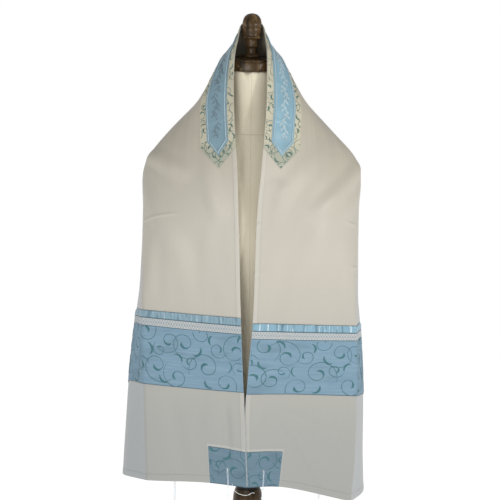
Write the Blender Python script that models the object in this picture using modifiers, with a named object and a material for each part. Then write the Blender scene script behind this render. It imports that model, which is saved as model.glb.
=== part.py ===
"""A tallit (prayer shawl) draped over a limbless dress form on a turned stand.

Metres, +Z up, +Y to the back. The origin is the centre of the base's underside.

The shawl is one flat rectangle of cloth. A point of it is named by two lengths:
  along  how far it lies from the nape, along the shawl, towards a hanging end
  across how far it lies from the front (neck) edge, towards the outer edge
Guide lines run along the cloth from the middle of the back, round the shoulder and down to the hem.
The surface is a smooth curve across them, with soft folds raised from it. Every piece that is sewn on
is made from the cloth's own points, moved out.
"""

import math

import bmesh
import bpy
import numpy as np

MM = 0.001

# ---------------------------------------------------------------- the shawl
HALF_LENGTH = 915.0  # nape to hem, mm
WIDTH = 508.0  # front edge to outer edge, mm
CLOTH_THICKNESS = 1.2
TRIM_THICKNESS = 1.0
SEAM_GAP = 0.3

# Guide lines: each row is a place along the guide, then where it lies on the left side (out from the
# middle, back, up) and how much further out, back and up the right side lies. All in mm.
GUIDE_COLUMNS = ("along", "out", "back", "up", "right_out", "right_back", "right_up")
GUIDES = (
    # across, then its rows: the front edge, from behind the finial, past the neck cap, over the chest
    (0.0, (
        (0, 0.0, 20.6, 1506.5, 0, 0, 0),
        (16, 14.6, 14.4, 1505.0, 0, 0, 0),
        (31, 20.4, 0.0, 1500.0, -0.5, 0, 0),
        (60, 25.0, -20.5, 1479.5, -0.6, 0, 0),
        (100, 30.4, -46.5, 1454.0, -3.0, 0, 0),
        (136, 32.0, -60.0, 1421.5, -4.2, 0, 0),
        (188, 31.5, -76.0, 1373.0, -4.2, 0, 0),
        (246, 29.0, -93.0, 1321.0, -4.6, 0, 0),
        (307, 24.8, -110.0, 1263.5, -5.0, 0, 0),
        (391, 21.6, -120.0, 1182.0, -8.8, 0, 0),
        (588, 15.5, -120.0, 978.0, -9.6, 0, -10),
        (680, 11.5, -119.5, 884.0, -12.5, 0, -5),
        (770, 7.3, -119.0, 793.0, -13.0, 0, -3),
        (845, 4.4, -118.5, 718.0, -7.9, 0, -1),
        (915, 1.2, -118.0, 646.5, -1.4, 0, -0.5),
    )),
    # the neckband's outer edge, and the corner patch's below
    (70.0, (
        (0, 0.0, 57.0, 1446.5, 0, 0, 0),
        (60, 49.0, 33.0, 1438.0, 0, 0, 0),
        (122, 75.5, -4.0, 1409.0, 0, 0, 0),
        (188, 93.0, -40.0, 1362.0, -2.0, 0, 0),
        (246, 92.0, -62.0, 1311.0, -2.0, 0, 0),
        (307, 89.5, -83.0, 1255.0, -2.0, 0, 0),
        (391, 88.0, -101.0, 1176.0, -2.0, 0, 0),
        (588, 84.0, -108.0, 979.5, -4.0, 0, -16),
        (728, 79.0, -110.0, 837.0, -5.0, 0, -7),
        (845, 75.0, -111.0, 726.5, -10.0, -2, -9),
        (915, 71.5, -111.0, 652.5, -13.0, -3, -5),
    )),
    # over the shoulder and down the front fold
    (190.0, (
        (0, 0.0, 87.5, 1331.0, 0, 0, 0),
        (100, 100.0, 64.0, 1320.0, 0, 0, 0),
        (190, 163.5, 28.0, 1285.0, 0, 0, 0),
        (285, 198.0, -8.0, 1238.0, 3, 0, 2),
        (350, 196.5, -33.0, 1178.0, 1, 0, 0),
        (430, 196.0, -55.0, 1105.0, 0, 0, -4),
        (588, 198.5, -78.0, 981.0, 1, 0, -28),
        (728, 197.0, -86.0, 840.0, 6, -6, -19),
        (845, 194.5, -95.0, 720.0, 5, -22, -22),
        (915, 192.5, -101.0, 652.5, 1, -28, -27),
    )),
    # the side
    (275.0, (
        (0, 0.0, 105.0, 1248.0, 0, 0, 0),
        (100, 103.0, 91.0, 1243.0, 0, 0, 0),
        (190, 167.0, 64.0, 1222.0, 0, 0, 0),
        (285, 195.0, 34.0, 1180.0, 2, 0, 0),
        (350, 197.0, 22.0, 1122.0, 1, 0, 0),
        (430, 201.0, 12.0, 1060.0, -1, 0, -4),
        (588, 216.0, -6.0, 960.0, -5, 0, -22),
        (728, 230.0, -14.0, 822.0, -10, -6, -20),
        (845, 238.0, -20.0, 700.0, -17, -12, -20),
        (915, 242.0, -22.0, 632.0, -18, -14, -22),
    )),
    # the back corner
    (370.0, (
        (0, 0.0, 114.0, 1154.0, 0, 0, 0),
        (100, 101.0, 110.0, 1148.0, 0, 0, 0),
        (190, 164.0, 98.0, 1125.0, 0, 0, 0),
        (285, 193.0, 84.0, 1087.0, 1, 0, 0),
        (350, 201.0, 77.0, 1050.0, 0, 0, 0),
        (430, 206.0, 72.0, 1002.0, 0, 0, -4),
        (588, 216.0, 68.0, 900.0, -4, 0, -12),
        (728, 223.0, 68.0, 777.0, -7, 0, -14),
        (845, 229.0, 71.0, 670.0, -10, 0, -14),
        (915, 232.0, 73.0, 607.0, -12, 0, -14),
    )),
    # the outer edge, level across the back, then down behind the side
    (508.0, (
        (0, 0.0, 118.0, 1017.0, 0, 0, 0),
        (100, 94.0, 117.0, 1012.0, 0, 0, 0),
        (190, 152.0, 116.0, 994.0, 0, 0, 0),
        (285, 180.0, 116.0, 964.0, 0, 0, 0),
        (350, 186.0, 117.0, 938.0, 0, 0, 0),
        (430, 184.0, 119.0, 902.0, 0, 0, 0),
        (588, 168.0, 125.0, 826.0, 0, 0, -4),
        (728, 148.0, 131.0, 722.0, 0, 0, -6),
        (845, 134.0, 135.0, 630.0, 0, 0, -6),
        (915, 128.0, 137.0, 578.0, 0, 0, -6),
    )),
)

# The front fold is soft over the shoulder and a pressed crease lower down.
CREASE_GUIDE = 2
CREASE_FROM, CREASE_TO, CREASE_SHARPNESS = 440.0, 620.0, 0.9

# Deep soft flutes fan out from each shoulder, behind the side, and take up the cloth that a flat
# rectangle has to spare there. Angles are from the front fold, in degrees. Their hollows turn inwards.
SHOULDER = (285.0, 190.0)  # along, across
FLUTES = {"first_angle": 16.0, "angle_step": 34.0, "count": 2, "depth": 46.0, "begins": 60.0, "full": 380.0}
# One broad fold falls down the middle of the back from the nape.
BACK_FOLD = {"half_width": 46.0, "height": 13.0, "begins": 120.0, "full": 420.0}
# The cloth sinks a little beside the neck, between the collar and the shoulder.
NECK_HOLLOW = {"along": 150.0, "across": 112.0, "along_reach": 120.0, "across_reach": 66.0, "depth": 10.0}

# Where pieces are sewn on: distances along and across the cloth.
NECKBAND_WIDTH = 70.0
RIBBON_ACROSS = (14.0, 56.0)
NECKBAND_MIDDLE = 35.5
GROUND_ENDS = (277.0, 315.0)  # where its point begins, its tip
RIBBON_ENDS = (265.0, 291.0)
TIP_WIDTH = 2.0
TIP_LIFT = 0.25  # a point's narrow facets stand this much clearer of the cloth
GATHERED_ALONG = (588.0, 599.2)
LACE_ALONG = (603.0, 615.6)
WIDE_BAND_ALONG = (618.0, 728.0)
PATCH = 70.0  # a corner patch's side
HOLE_FROM_EDGE = (33.0, 38.0)
HOLE_ALONG = (882.0, 887.0)
GATHERS = 36  # puffs in each gathered ribbon
GATHER_BASE, GATHER_HEIGHT = 0.4, 1.6  # how far the ribbon stands up at a gather, and a puff above that

# The mesh lines of one half of the cloth. Every seam above lies on one of them.
ALONG_LINES = (
    0, 8, 16, 24, 31, 44, 60, 80, 105, 136, 170, 205, 240, RIBBON_ENDS[0], GROUND_ENDS[0], RIBBON_ENDS[1],
    GROUND_ENDS[1], 350, 382, 414, 446, 478, 508, 536, 563, GATHERED_ALONG[0], GATHERED_ALONG[1],
    LACE_ALONG[0], LACE_ALONG[1], WIDE_BAND_ALONG[0], 655, 692, WIDE_BAND_ALONG[1], 785, HALF_LENGTH - PATCH,
    HOLE_ALONG[0], HOLE_ALONG[1], HALF_LENGTH,
)
ACROSS_LINES = (
    0, RIBBON_ACROSS[0], HOLE_FROM_EDGE[0], HOLE_FROM_EDGE[1], RIBBON_ACROSS[1], PATCH, 105, 145, 190,
    225, 255, 285, 312, 340, 368, 400,
    WIDTH - PATCH, WIDTH - HOLE_FROM_EDGE[1], WIDTH - HOLE_FROM_EDGE[0], WIDTH,
)

# ---------------------------------------------------------------- the dress form
BASE_RADIUS, BASE_HEIGHT = 170.0, 26.0
POST_BOTTOM = BASE_HEIGHT + SEAM_GAP
TORSO_BOTTOM = 705.0
NECK_TOP = 1421.5
CAP_HEIGHT = 20.5
CAP_RADIUS = 51.5
ROUND_STEPS = 24
TORSO_STEPS = 32

# Torso rings from the neck down: height, half its width, its front and its back, and how square it is.
TORSO_COLUMNS = ("up", "half_width", "front", "back", "squareness")
TORSO = (
    (NECK_TOP, 49.0, 49.0, 49.0, 2.0),
    (1390.0, 48.5, 50.0, 50.0, 2.0),
    (1350.0, 52.0, 55.0, 53.0, 2.0),
    (1318.0, 62.0, 62.0, 58.0, 2.0),
    (1296.0, 84.0, 68.0, 62.0, 2.0),
    (1274.0, 118.0, 74.0, 67.0, 2.05),
    (1254.0, 150.0, 80.0, 71.0, 2.1),
    (1238.0, 174.0, 85.0, 75.0, 2.15),
    (1224.0, 187.0, 89.0, 79.0, 2.2),
    (1205.0, 191.0, 94.0, 83.0, 2.25),
    (1175.0, 184.0, 101.0, 88.0, 2.3),
    (1135.0, 172.0, 106.0, 92.0, 2.3),
    (1090.0, 160.0, 104.0, 90.0, 2.25),
    (1035.0, 142.0, 92.0, 84.0, 2.15),
    (975.0, 126.0, 82.0, 79.0, 2.1),
    (915.0, 132.0, 86.0, 86.0, 2.1),
    (850.0, 152.0, 93.0, 97.0, 2.15),
    (785.0, 165.0, 98.0, 104.0, 2.2),
    (730.0, 166.0, 97.0, 103.0, 2.2),
    (TORSO_BOTTOM, 160.0, 93.0, 99.0, 2.2),
)

# Turned pieces: radius and height above the piece's own underside, from the top down.
FINIAL = (
    (3.0, 80.5), (8.5, 79.0), (12.8, 75.8), (15.8, 71.0), (17.4, 65.0), (17.8, 60.0), (17.2, 58.6),
    (17.2, 57.6), (17.8, 56.2), (17.8, 50.5), (16.6, 46.0), (16.0, 42.0), (16.2, 40.5), (18.0, 38.8),
    (18.2, 37.2), (16.8, 35.4), (12.8, 34.4), (12.2, 30.0), (12.6, 21.0), (10.4, 19.4), (9.8, 16.0),
    (9.8, 9.0), (11.0, 7.0), (13.8, 5.6), (14.2, 2.6), (13.4, 0.0),
)
NECK_CAP = (
    (44.0, 20.5), (47.5, 20.0), (48.3, 18.6), (48.3, 17.0), (50.3, 16.2),
    (CAP_RADIUS, 15.0), (CAP_RADIUS, 2.0),
    (50.5, 0.5), (49.5, 0.0),
)
POST = (
    (46.0, 678.4), (46.0, 666.0), (38.0, 660.0), (27.0, 654.0), (24.0, 646.0), (23.0, 618.0), (23.5, 600.0),
    (26.5, 594.0), (26.5, 584.0), (22.0, 579.0), (23.5, 574.0), (28.0, 562.0), (29.5, 546.0), (27.5, 524.0),
    (22.0, 498.0), (18.5, 470.0), (17.8, 440.0), (20.5, 432.0), (20.5, 424.0), (17.8, 416.0), (18.5, 300.0),
    (20.5, 160.0), (23.0, 96.0), (27.5, 84.0), (27.5, 72.0), (22.0, 64.0), (24.0, 40.0), (30.0, 16.0),
    (38.0, 0.0),
)
BASE = (
    (60.0, 26.0), (128.0, 24.0), (150.0, 20.5), (164.0, 15.5), (BASE_RADIUS, 9.0), (BASE_RADIUS, 3.0),
    (167.0, 0.0),
)

# ---------------------------------------------------------------- the tassels
STRANDS = 8
STRAND_THICKNESS = 1.5
STRAND_LENGTH = 190.0
STRAND_BENDS = 5
LOOP_THICKNESS = 2.0
LOOP_CLEARANCE = 0.6
LOOP_TURN = 0.75  # where the loop turns under the hem it stands out by this share of its full distance
KNOT_START = 6.0  # how far below the hem the loop meets the windings
STRAND_ROOT = 59.5  # how far below the hem the strands leave the windings
# Each strand leaves the windings near the middle, spreads out and wanders a little, and is cut unevenly.
STRAND_SPREAD = {"root": 1.45, "reach": 7.5, "bend": 1.7, "uneven": 0.25, "turn": 2.1}
STRAND_DRIFT = {"distance": 2.0, "bend": 5.0}
STRAND_TRIM = 0.07
# Turned wound part and its knots: radius and distance below the hem.
WINDINGS = (
    (1.6, 5.0), (3.4, 6.5), (3.6, 9.5), (2.4, 11.5), (2.3, 20.0), (3.4, 22.0), (3.4, 25.0), (2.4, 27.0),
    (2.3, 37.0), (3.4, 39.0), (3.4, 42.0), (2.4, 44.0), (2.3, 55.0), (3.4, 57.0), (3.6, 60.0), (2.6, 62.5),
)

# ---------------------------------------------------------------- colours: base colour, roughness, metallic
MATERIALS = {
    "ivory cloth": ((0.72, 0.67, 0.57), 0.55, 0.0),
    "cream organza": ((0.70, 0.68, 0.58), 0.60, 0.0),
    "blue satin": ((0.27, 0.43, 0.52), 0.38, 0.0),
    "blue organza": ((0.24, 0.36, 0.46), 0.55, 0.0),
    "white lace": ((0.72, 0.74, 0.74), 0.75, 0.0),
    "white thread": ((0.80, 0.80, 0.78), 0.80, 0.0),
    "canvas": ((0.62, 0.55, 0.42), 0.90, 0.0),
    "dark wood": ((0.075, 0.042, 0.022), 0.35, 0.0),
}


def clear_scene():
    for thing in list(bpy.data.objects):
        bpy.data.objects.remove(thing, do_unlink=True)


def make_material(name):
    colour, roughness, metallic = MATERIALS[name]
    material = bpy.data.materials.get(name) or bpy.data.materials.new(name)
    material.use_nodes = True
    shader = material.node_tree.nodes["Principled BSDF"]
    shader.inputs["Base Color"].default_value = (*colour, 1.0)
    shader.inputs["Roughness"].default_value = roughness
    shader.inputs["Metallic"].default_value = metallic
    return material


def make_collection(name):
    collection = bpy.data.collections.new(name)
    bpy.context.scene.collection.children.link(collection)
    return collection


def finish_object(obj, name, material_name, collection, smooth_angle=math.radians(35)):
    obj.name = name
    obj.data.name = name
    obj.data.materials.clear()
    obj.data.materials.append(make_material(material_name))
    for other in list(obj.users_collection):
        other.objects.unlink(obj)
    collection.objects.link(obj)
    obj.data.shade_smooth()
    obj.data.set_sharp_from_angle(angle=smooth_angle)
    return obj


def object_from_faces(points, faces):
    """A mesh object from points in mm and faces, with its normals pointing out."""
    mesh = bpy.data.meshes.new("piece")
    mesh.from_pydata([tuple(float(value) * MM for value in point) for point in points], [], faces)
    shape = bmesh.new()
    shape.from_mesh(mesh)
    bmesh.ops.recalc_face_normals(shape, faces=shape.faces)
    shape.to_mesh(mesh)
    shape.free()
    obj = bpy.data.objects.new("piece", mesh)
    bpy.context.scene.collection.objects.link(obj)
    return obj


# ---------------------------------------------------------------- the cloth's surface


def smooth_step(value, low, high):
    part = np.clip((value - low) / (high - low), 0.0, 1.0)
    return part * part * (3.0 - 2.0 * part)


def slopes_at(knots, values):
    """Slope at each knot of a smooth curve through the values, as a parabola through three knots has it."""
    knots = np.asarray(knots, float)
    steps = np.diff(knots)
    shape = (-1,) + (1,) * (values.ndim - 1)
    rises = np.diff(values, axis=0) / steps.reshape(shape)
    slopes = np.empty_like(values)
    slopes[0], slopes[-1] = rises[0], rises[-1]
    before, after = steps[:-1].reshape(shape), steps[1:].reshape(shape)
    slopes[1:-1] = (rises[:-1] * after + rises[1:] * before) / (before + after)
    return slopes


def curve_between(knots, values, slopes_out, slopes_in, where):
    """Cubic curve values at each place. A knot may leave with one slope and arrive with another."""
    knots = np.asarray(knots, float)
    index = np.clip(np.searchsorted(knots, where, side="right") - 1, 0, len(knots) - 2)
    step = knots[index + 1] - knots[index]
    part = (where - knots[index]) / step
    shape = (-1,) + (1,) * (values.ndim - 1)
    step, part = step.reshape(shape), part.reshape(shape)
    start = (1 + 2 * part) * (1 - part) ** 2 * values[index]
    start = start + part * (1 - part) ** 2 * step * slopes_out[index]
    end = part**2 * (3 - 2 * part) * values[index + 1] + part**2 * (part - 1) * step * slopes_in[index + 1]
    return start + end


def guide_points(side, along):
    """Points of every guide line on one side, at the given lengths along: array [along, guide, xyz]."""
    lines = []
    for _, rows in GUIDES:
        column = dict(zip(GUIDE_COLUMNS, np.array(rows, float).T))
        places = np.stack([column["out"], column["back"], column["up"]], axis=1)
        if side > 0:
            shift = np.stack([column["right_out"], column["right_back"], column["right_up"]], axis=1)
            places = places + shift
        mirrored = places[:0:-1] * (-1.0, 1.0, 1.0)
        knots = np.concatenate([-column["along"][:0:-1], column["along"]])
        values = np.concatenate([mirrored, places])
        slopes = slopes_at(knots, values)
        line = curve_between(knots, values, slopes, slopes, along)
        lines.append(line * (side, 1.0, 1.0))
    return np.stack(lines, axis=1)


def plain_surface(side, along, across):
    """The cloth's middle surface with no folds: array [along, across, xyz] in mm."""
    knots = [guide[0] for guide in GUIDES]
    guides = guide_points(side, along)
    sharpness = CREASE_SHARPNESS * smooth_step(along, CREASE_FROM, CREASE_TO)
    rows = []
    for points, sharp in zip(guides, sharpness):
        slopes_in = slopes_at(knots, points)
        slopes_out = slopes_in.copy()
        rises = np.diff(points, axis=0) / np.diff(knots)[:, None]
        slopes_in[CREASE_GUIDE] += sharp * (rises[CREASE_GUIDE - 1] - slopes_in[CREASE_GUIDE])
        slopes_out[CREASE_GUIDE] += sharp * (rises[CREASE_GUIDE] - slopes_out[CREASE_GUIDE])
        rows.append(curve_between(knots, points, slopes_out, slopes_in, across))
    return np.stack(rows)


def ridge(distance, half_width):
    """1 on a line and 0 from half_width away, with a rounded top."""
    part = np.clip(np.abs(distance) / half_width, 0.0, 1.0)
    return 0.5 + 0.5 * np.cos(math.pi * part)


def fold_heights(along, across):
    """How far the folds raise the cloth at each point of the grid, in mm."""
    along, across = np.meshgrid(along, across, indexing="ij")
    down, back = along - SHOULDER[0], across - SHOULDER[1]
    distance = np.hypot(down, back)
    angle = np.degrees(np.arctan2(back, down))
    heights = np.zeros_like(along)
    turns = np.clip((angle - FLUTES["first_angle"]) / FLUTES["angle_step"], 0.0, FLUTES["count"])
    hollow = 0.5 - 0.5 * np.cos(2 * math.pi * turns)
    heights -= FLUTES["depth"] * hollow * smooth_step(distance, FLUTES["begins"], FLUTES["full"])
    grown = smooth_step(across, BACK_FOLD["begins"], BACK_FOLD["full"])
    heights += BACK_FOLD["height"] * ridge(along, BACK_FOLD["half_width"]) * grown
    beside_neck = ridge(along - NECK_HOLLOW["along"], NECK_HOLLOW["along_reach"])
    beside_neck *= ridge(across - NECK_HOLLOW["across"], NECK_HOLLOW["across_reach"])
    return heights - NECK_HOLLOW["depth"] * beside_neck


def grid_normals(points):
    """Unit normals of a grid of points, from the directions of its lines, pointing away from the form."""
    along = np.gradient(points, axis=0)
    across = np.gradient(points, axis=1)
    normals = np.cross(along, across)
    return normals / np.linalg.norm(normals, axis=2, keepdims=True)


def draped_half(side):
    """The cloth's points on one side, with its folds: array [along, across, xyz] in mm."""
    along = np.array(ALONG_LINES, float)
    across = np.array(ACROSS_LINES, float)
    plain = plain_surface(side, along, across)
    normals = grid_normals(plain) * side
    return plain + normals * fold_heights(along, across)[:, :, None]


class Cloth:
    """The whole cloth as a grid of points and normals, from the left hem over the nape to the right hem."""

    def __init__(self):
        left, right = draped_half(-1.0), draped_half(1.0)
        self.along = np.concatenate([-np.array(ALONG_LINES, float)[:0:-1], np.array(ALONG_LINES, float)])
        self.across = np.array(ACROSS_LINES, float)
        self.points = np.concatenate([left[:0:-1], right])
        self.normals = grid_normals(self.points)

    def rows(self, low, high):
        return [i for i, value in enumerate(self.along) if low - 0.01 <= value <= high + 0.01]

    def columns(self, low, high):
        return [j for j, value in enumerate(self.across) if low - 0.01 <= value <= high + 0.01]

    def layer(self, rows, columns, height):
        """Points of a part of the grid, moved out from the cloth's middle by a height."""
        where = np.ix_(rows, columns)
        return self.points[where] + self.normals[where] * height


def wall(inner, outer, kept=None):
    """A closed wall between two grids of points. Cells that aren't kept are left open, as a hole."""
    rows, columns = inner.shape[:2]
    if kept is None:
        kept = np.ones((rows - 1, columns - 1), bool)
    points = np.concatenate([inner.reshape(-1, 3), outer.reshape(-1, 3)])
    lift = rows * columns
    faces = []
    for i, j in zip(*np.nonzero(kept)):
        corners = [i * columns + j, (i + 1) * columns + j, (i + 1) * columns + j + 1, i * columns + j + 1]
        # Every layer splits its cells along the same diagonal, so that layers stay parallel.
        for a, b, c in ((0, 1, 2), (0, 2, 3)):
            faces.append([corners[a], corners[b], corners[c]])
            faces.append([corners[c] + lift, corners[b] + lift, corners[a] + lift])
        beyond = ((i, j - 1), (i + 1, j), (i, j + 1), (i - 1, j))
        for side, (a, b) in enumerate(beyond):
            if 0 <= a < rows - 1 and 0 <= b < columns - 1 and kept[a, b]:
                continue
            first, second = corners[side], corners[(side + 1) % 4]
            faces.append([second, first, first + lift, second + lift])
    used = sorted({corner for face in faces for corner in face})
    place = {corner: index for index, corner in enumerate(used)}
    return object_from_faces(points[used], [[place[corner] for corner in face] for face in faces])


def hole_cells(cloth, rows, columns):
    """Cells of a part of the grid that the tassels' holes leave open."""
    along = np.abs(cloth.along[rows])
    across = cloth.across[columns]
    middle_along = 0.5 * (along[:-1] + along[1:])
    middle_across = 0.5 * (across[:-1] + across[1:])
    near_end = (middle_along > HOLE_ALONG[0]) & (middle_along < HOLE_ALONG[1])
    from_edge = np.minimum(middle_across, WIDTH - middle_across)
    near_edge = (from_edge > HOLE_FROM_EDGE[0]) & (from_edge < HOLE_FROM_EDGE[1])
    return near_end[:, None] & near_edge[None, :]


def build_cloth(cloth, collection):
    rows = list(range(len(cloth.along)))
    columns = list(range(len(cloth.across)))
    half = CLOTH_THICKNESS / 2
    piece = wall(
        cloth.layer(rows, columns, -half), cloth.layer(rows, columns, half), ~hole_cells(cloth, rows, columns)
    )
    finish_object(piece, "tallit_cloth", "ivory cloth", collection)


def layer_heights(level):
    """Inner and outer height of a piece that is sewn on, as the first or second layer over the cloth."""
    inner = CLOTH_THICKNESS / 2 + SEAM_GAP + level * (TRIM_THICKNESS + SEAM_GAP)
    return inner, inner + TRIM_THICKNESS


def build_sewn_on(cloth, collection, name, material, along, across):
    rows, columns = cloth.rows(*along), cloth.columns(*across)
    inner, outer = layer_heights(0)
    kept = ~hole_cells(cloth, rows, columns)
    piece = wall(cloth.layer(rows, columns, inner), cloth.layer(rows, columns, outer), kept)
    finish_object(piece, name, material, collection)


def narrowed(layer, across, keep):
    """One row of a layer with its places across drawn in towards the neckband's middle."""
    wanted = NECKBAND_MIDDLE + (across - NECKBAND_MIDDLE) * keep
    return np.stack([np.interp(wanted, across, layer[:, axis]) for axis in range(3)], axis=1)


def build_pointed_band(cloth, collection, name, material, ends, across, level):
    """A band round the neck whose two ends come to a point."""
    shoulder, tip = ends
    rows, columns = cloth.rows(-tip, tip), cloth.columns(*across)
    places = cloth.across[columns]
    layers = []
    for height in layer_heights(level):
        layer = cloth.layer(rows, columns, height)
        for row, along in enumerate(np.abs(cloth.along[rows])):
            keep = 1.0 - max(0.0, along - shoulder) / (tip - shoulder)
            if keep < 1.0:
                lifted = layer[row] + cloth.normals[rows[row], columns] * TIP_LIFT * (1.0 - keep)
                layer[row] = narrowed(lifted, places, max(keep, TIP_WIDTH / (across[1] - across[0])))
        layers.append(layer)
    finish_object(wall(*layers), name, material, collection)


def refined(row, across, wanted):
    """A row of points with more places across, straight between its own."""
    return np.stack([np.interp(wanted, across, row[:, axis]) for axis in range(3)], axis=1)


def build_gathered_ribbon(cloth, collection, name, side):
    """A ribbon whose outer face rises in a puff between gathers. Its inner face follows the cloth."""
    low, high = sorted(side * value for value in GATHERED_ALONG)
    rows = cloth.rows(low, high)
    across = cloth.across
    columns = list(range(len(across)))
    inner, outer = layer_heights(0)
    puff_step = WIDTH / (3 * GATHERS)
    parts = [max(1, round(width / puff_step)) for width in np.diff(across)]
    starts = np.concatenate([[0], np.cumsum(parts)])
    wanted = [np.linspace(a, b, n, endpoint=False) for a, b, n in zip(across[:-1], across[1:], parts)]
    wanted = np.concatenate(wanted + [[WIDTH]])
    puff = 0.5 - 0.5 * np.cos(2 * math.pi * wanted * GATHERS / WIDTH)
    below = cloth.layer(rows, columns, inner)
    away = cloth.layer(rows, columns, 1.0) - cloth.layer(rows, columns, 0.0)
    above = [
        refined(below[end], across, wanted)
        + refined(away[end], across, wanted) * (outer - inner + GATHER_BASE + GATHER_HEIGHT * puff)[:, None]
        for end in (0, 1)
    ]
    points = np.concatenate([below[0], below[1], above[0], above[1]])
    count, fine = len(across), len(wanted)
    first_top, second_top = 2 * count, 2 * count + fine
    faces = []
    for j in range(count - 1):
        corners = [j, count + j, count + j + 1, j + 1]
        faces += [[corners[0], corners[1], corners[2]], [corners[0], corners[2], corners[3]]]
        stretch = range(starts[j], starts[j + 1] + 1)
        faces.append([j, j + 1] + [first_top + k for k in reversed(stretch)])
        faces.append([count + j + 1, count + j] + [second_top + k for k in stretch])
    for k in range(fine - 1):
        faces.append([first_top + k, first_top + k + 1, second_top + k + 1, second_top + k])
    faces.append([0, first_top, second_top, count])
    faces.append([count - 1, 2 * count - 1, second_top + fine - 1, first_top + fine - 1])
    finish_object(object_from_faces(points, faces), name, "blue satin", collection)


def build_shawl(cloth, collection):
    build_cloth(cloth, collection)
    build_pointed_band(
        cloth, collection, "neckband_ground", "cream organza", GROUND_ENDS, (0.0, NECKBAND_WIDTH), 0
    )
    build_pointed_band(cloth, collection, "neckband_ribbon", "blue satin", RIBBON_ENDS, RIBBON_ACROSS, 1)
    for side, word in ((-1.0, "left"), (1.0, "right")):
        build_gathered_ribbon(cloth, collection, "gathered_ribbon_" + word, side)
        lace = sorted(side * value for value in LACE_ALONG)
        build_sewn_on(cloth, collection, "lace_braid_" + word, "white lace", lace, (0.0, WIDTH))
        band = sorted(side * value for value in WIDE_BAND_ALONG)
        build_sewn_on(cloth, collection, "wide_band_" + word, "blue organza", band, (0.0, WIDTH))
        end = sorted((side * (HALF_LENGTH - PATCH), side * HALF_LENGTH))
        for corner, across in (("front", (0.0, PATCH)), ("back", (WIDTH - PATCH, WIDTH))):
            build_sewn_on(cloth, collection, f"corner_square_{corner}_{word}", "blue organza", end, across)


# ---------------------------------------------------------------- the dress form


def ring_point(turn, ring):
    """A point of a squarish oval whose front and back differ in depth."""
    cosine, sine = math.cos(turn), math.sin(turn)
    power = 2.0 / ring["squareness"]
    depth = ring["back"] if sine > 0 else ring["front"]
    x = ring["half_width"] * math.copysign(abs(cosine) ** power, cosine)
    y = depth * math.copysign(abs(sine) ** power, sine)
    return x, y


def build_torso(collection):
    points, faces = [], []
    for row in TORSO:
        ring = dict(zip(TORSO_COLUMNS, row))
        for step in range(TORSO_STEPS):
            x, y = ring_point(2 * math.pi * step / TORSO_STEPS, ring)
            points.append((x, y, ring["up"]))
    for ring in range(len(TORSO) - 1):
        for step in range(TORSO_STEPS):
            following = (step + 1) % TORSO_STEPS
            start, below = ring * TORSO_STEPS, (ring + 1) * TORSO_STEPS
            faces.append([start + step, start + following, below + following, below + step])
    faces.append(list(range(TORSO_STEPS)))
    faces.append([(len(TORSO) - 1) * TORSO_STEPS + step for step in range(TORSO_STEPS)])
    finish_object(object_from_faces(points, faces), "torso", "canvas", collection, math.radians(50))


def build_turned(collection, name, profile, underside):
    """A turned piece: its profile, closed to the axis at both ends, screwed once round."""
    outline = [(0.0, profile[0][1])] + list(profile) + [(0.0, profile[-1][1])]
    mesh = bpy.data.meshes.new(name)
    points = [(radius * MM, 0.0, height * MM) for radius, height in outline]
    mesh.from_pydata(points, [(i, i + 1) for i in range(len(points) - 1)], [])
    obj = bpy.data.objects.new(name, mesh)
    bpy.context.scene.collection.objects.link(obj)
    obj.location.z = underside * MM
    screw = obj.modifiers.new("turn", "SCREW")
    screw.steps = screw.render_steps = ROUND_STEPS
    screw.use_merge_vertices = True
    screw.merge_threshold = 0.00001
    finish_object(obj, name, "dark wood", collection)


def build_form(collection):
    build_torso(collection)
    cap_underside = NECK_TOP + SEAM_GAP
    finial_underside = cap_underside + CAP_HEIGHT + SEAM_GAP
    build_turned(collection, "neck_cap", NECK_CAP, cap_underside)
    build_turned(collection, "finial", FINIAL, finial_underside)
    build_turned(collection, "stand_post", POST, POST_BOTTOM)
    build_turned(collection, "stand_base", BASE, 0.0)


# ---------------------------------------------------------------- the tassels


def frame_along(route):
    """Two unit directions across each point of a route, turning as little as they can."""
    tangents = np.gradient(route, axis=0)
    tangents /= np.linalg.norm(tangents, axis=1, keepdims=True)
    side = np.cross(tangents[0], (0.0, 1.0, 0.0) if abs(tangents[0][1]) < 0.9 else (1.0, 0.0, 0.0))
    sides, others = [], []
    for tangent in tangents:
        side = side - tangent * np.dot(side, tangent)
        side /= np.linalg.norm(side)
        sides.append(side)
        others.append(np.cross(tangent, side))
    return np.array(sides), np.array(others)


def square_strand(route, thickness):
    """Points and faces of a four-sided strand along a route."""
    route = np.asarray(route, float)
    sides, others = frame_along(route)
    half = thickness / 2
    corners = ((-half, -half), (half, -half), (half, half), (-half, half))
    points = [route + sides * a + others * b for a, b in corners]
    points = np.stack(points, axis=1).reshape(-1, 3)
    faces = []
    for ring in range(len(route) - 1):
        for corner in range(4):
            following = (corner + 1) % 4
            start, end = 4 * ring, 4 * (ring + 1)
            faces.append([start + corner, start + following, end + following, end + corner])
    faces.append([3, 2, 1, 0])
    last = 4 * (len(route) - 1)
    faces.append([last, last + 1, last + 2, last + 3])
    return points, faces


def turned_faces(profile, centre, steps=8):
    """Points and faces of a turned shape about an upright axis, closed at both ends."""
    points, faces = [], []
    for radius, below in profile:
        for step in range(steps):
            turn = 2 * math.pi * step / steps
            x = centre[0] + radius * math.cos(turn)
            y = centre[1] + radius * math.sin(turn)
            points.append((x, y, centre[2] - below))
    for ring in range(len(profile) - 1):
        for step in range(steps):
            following = (step + 1) % steps
            start, end = ring * steps, (ring + 1) * steps
            faces.append([start + step, start + following, end + following, end + step])
    faces.append(list(range(steps)))
    faces.append([(len(profile) - 1) * steps + step for step in range(steps)])
    return np.array(points), faces


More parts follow.
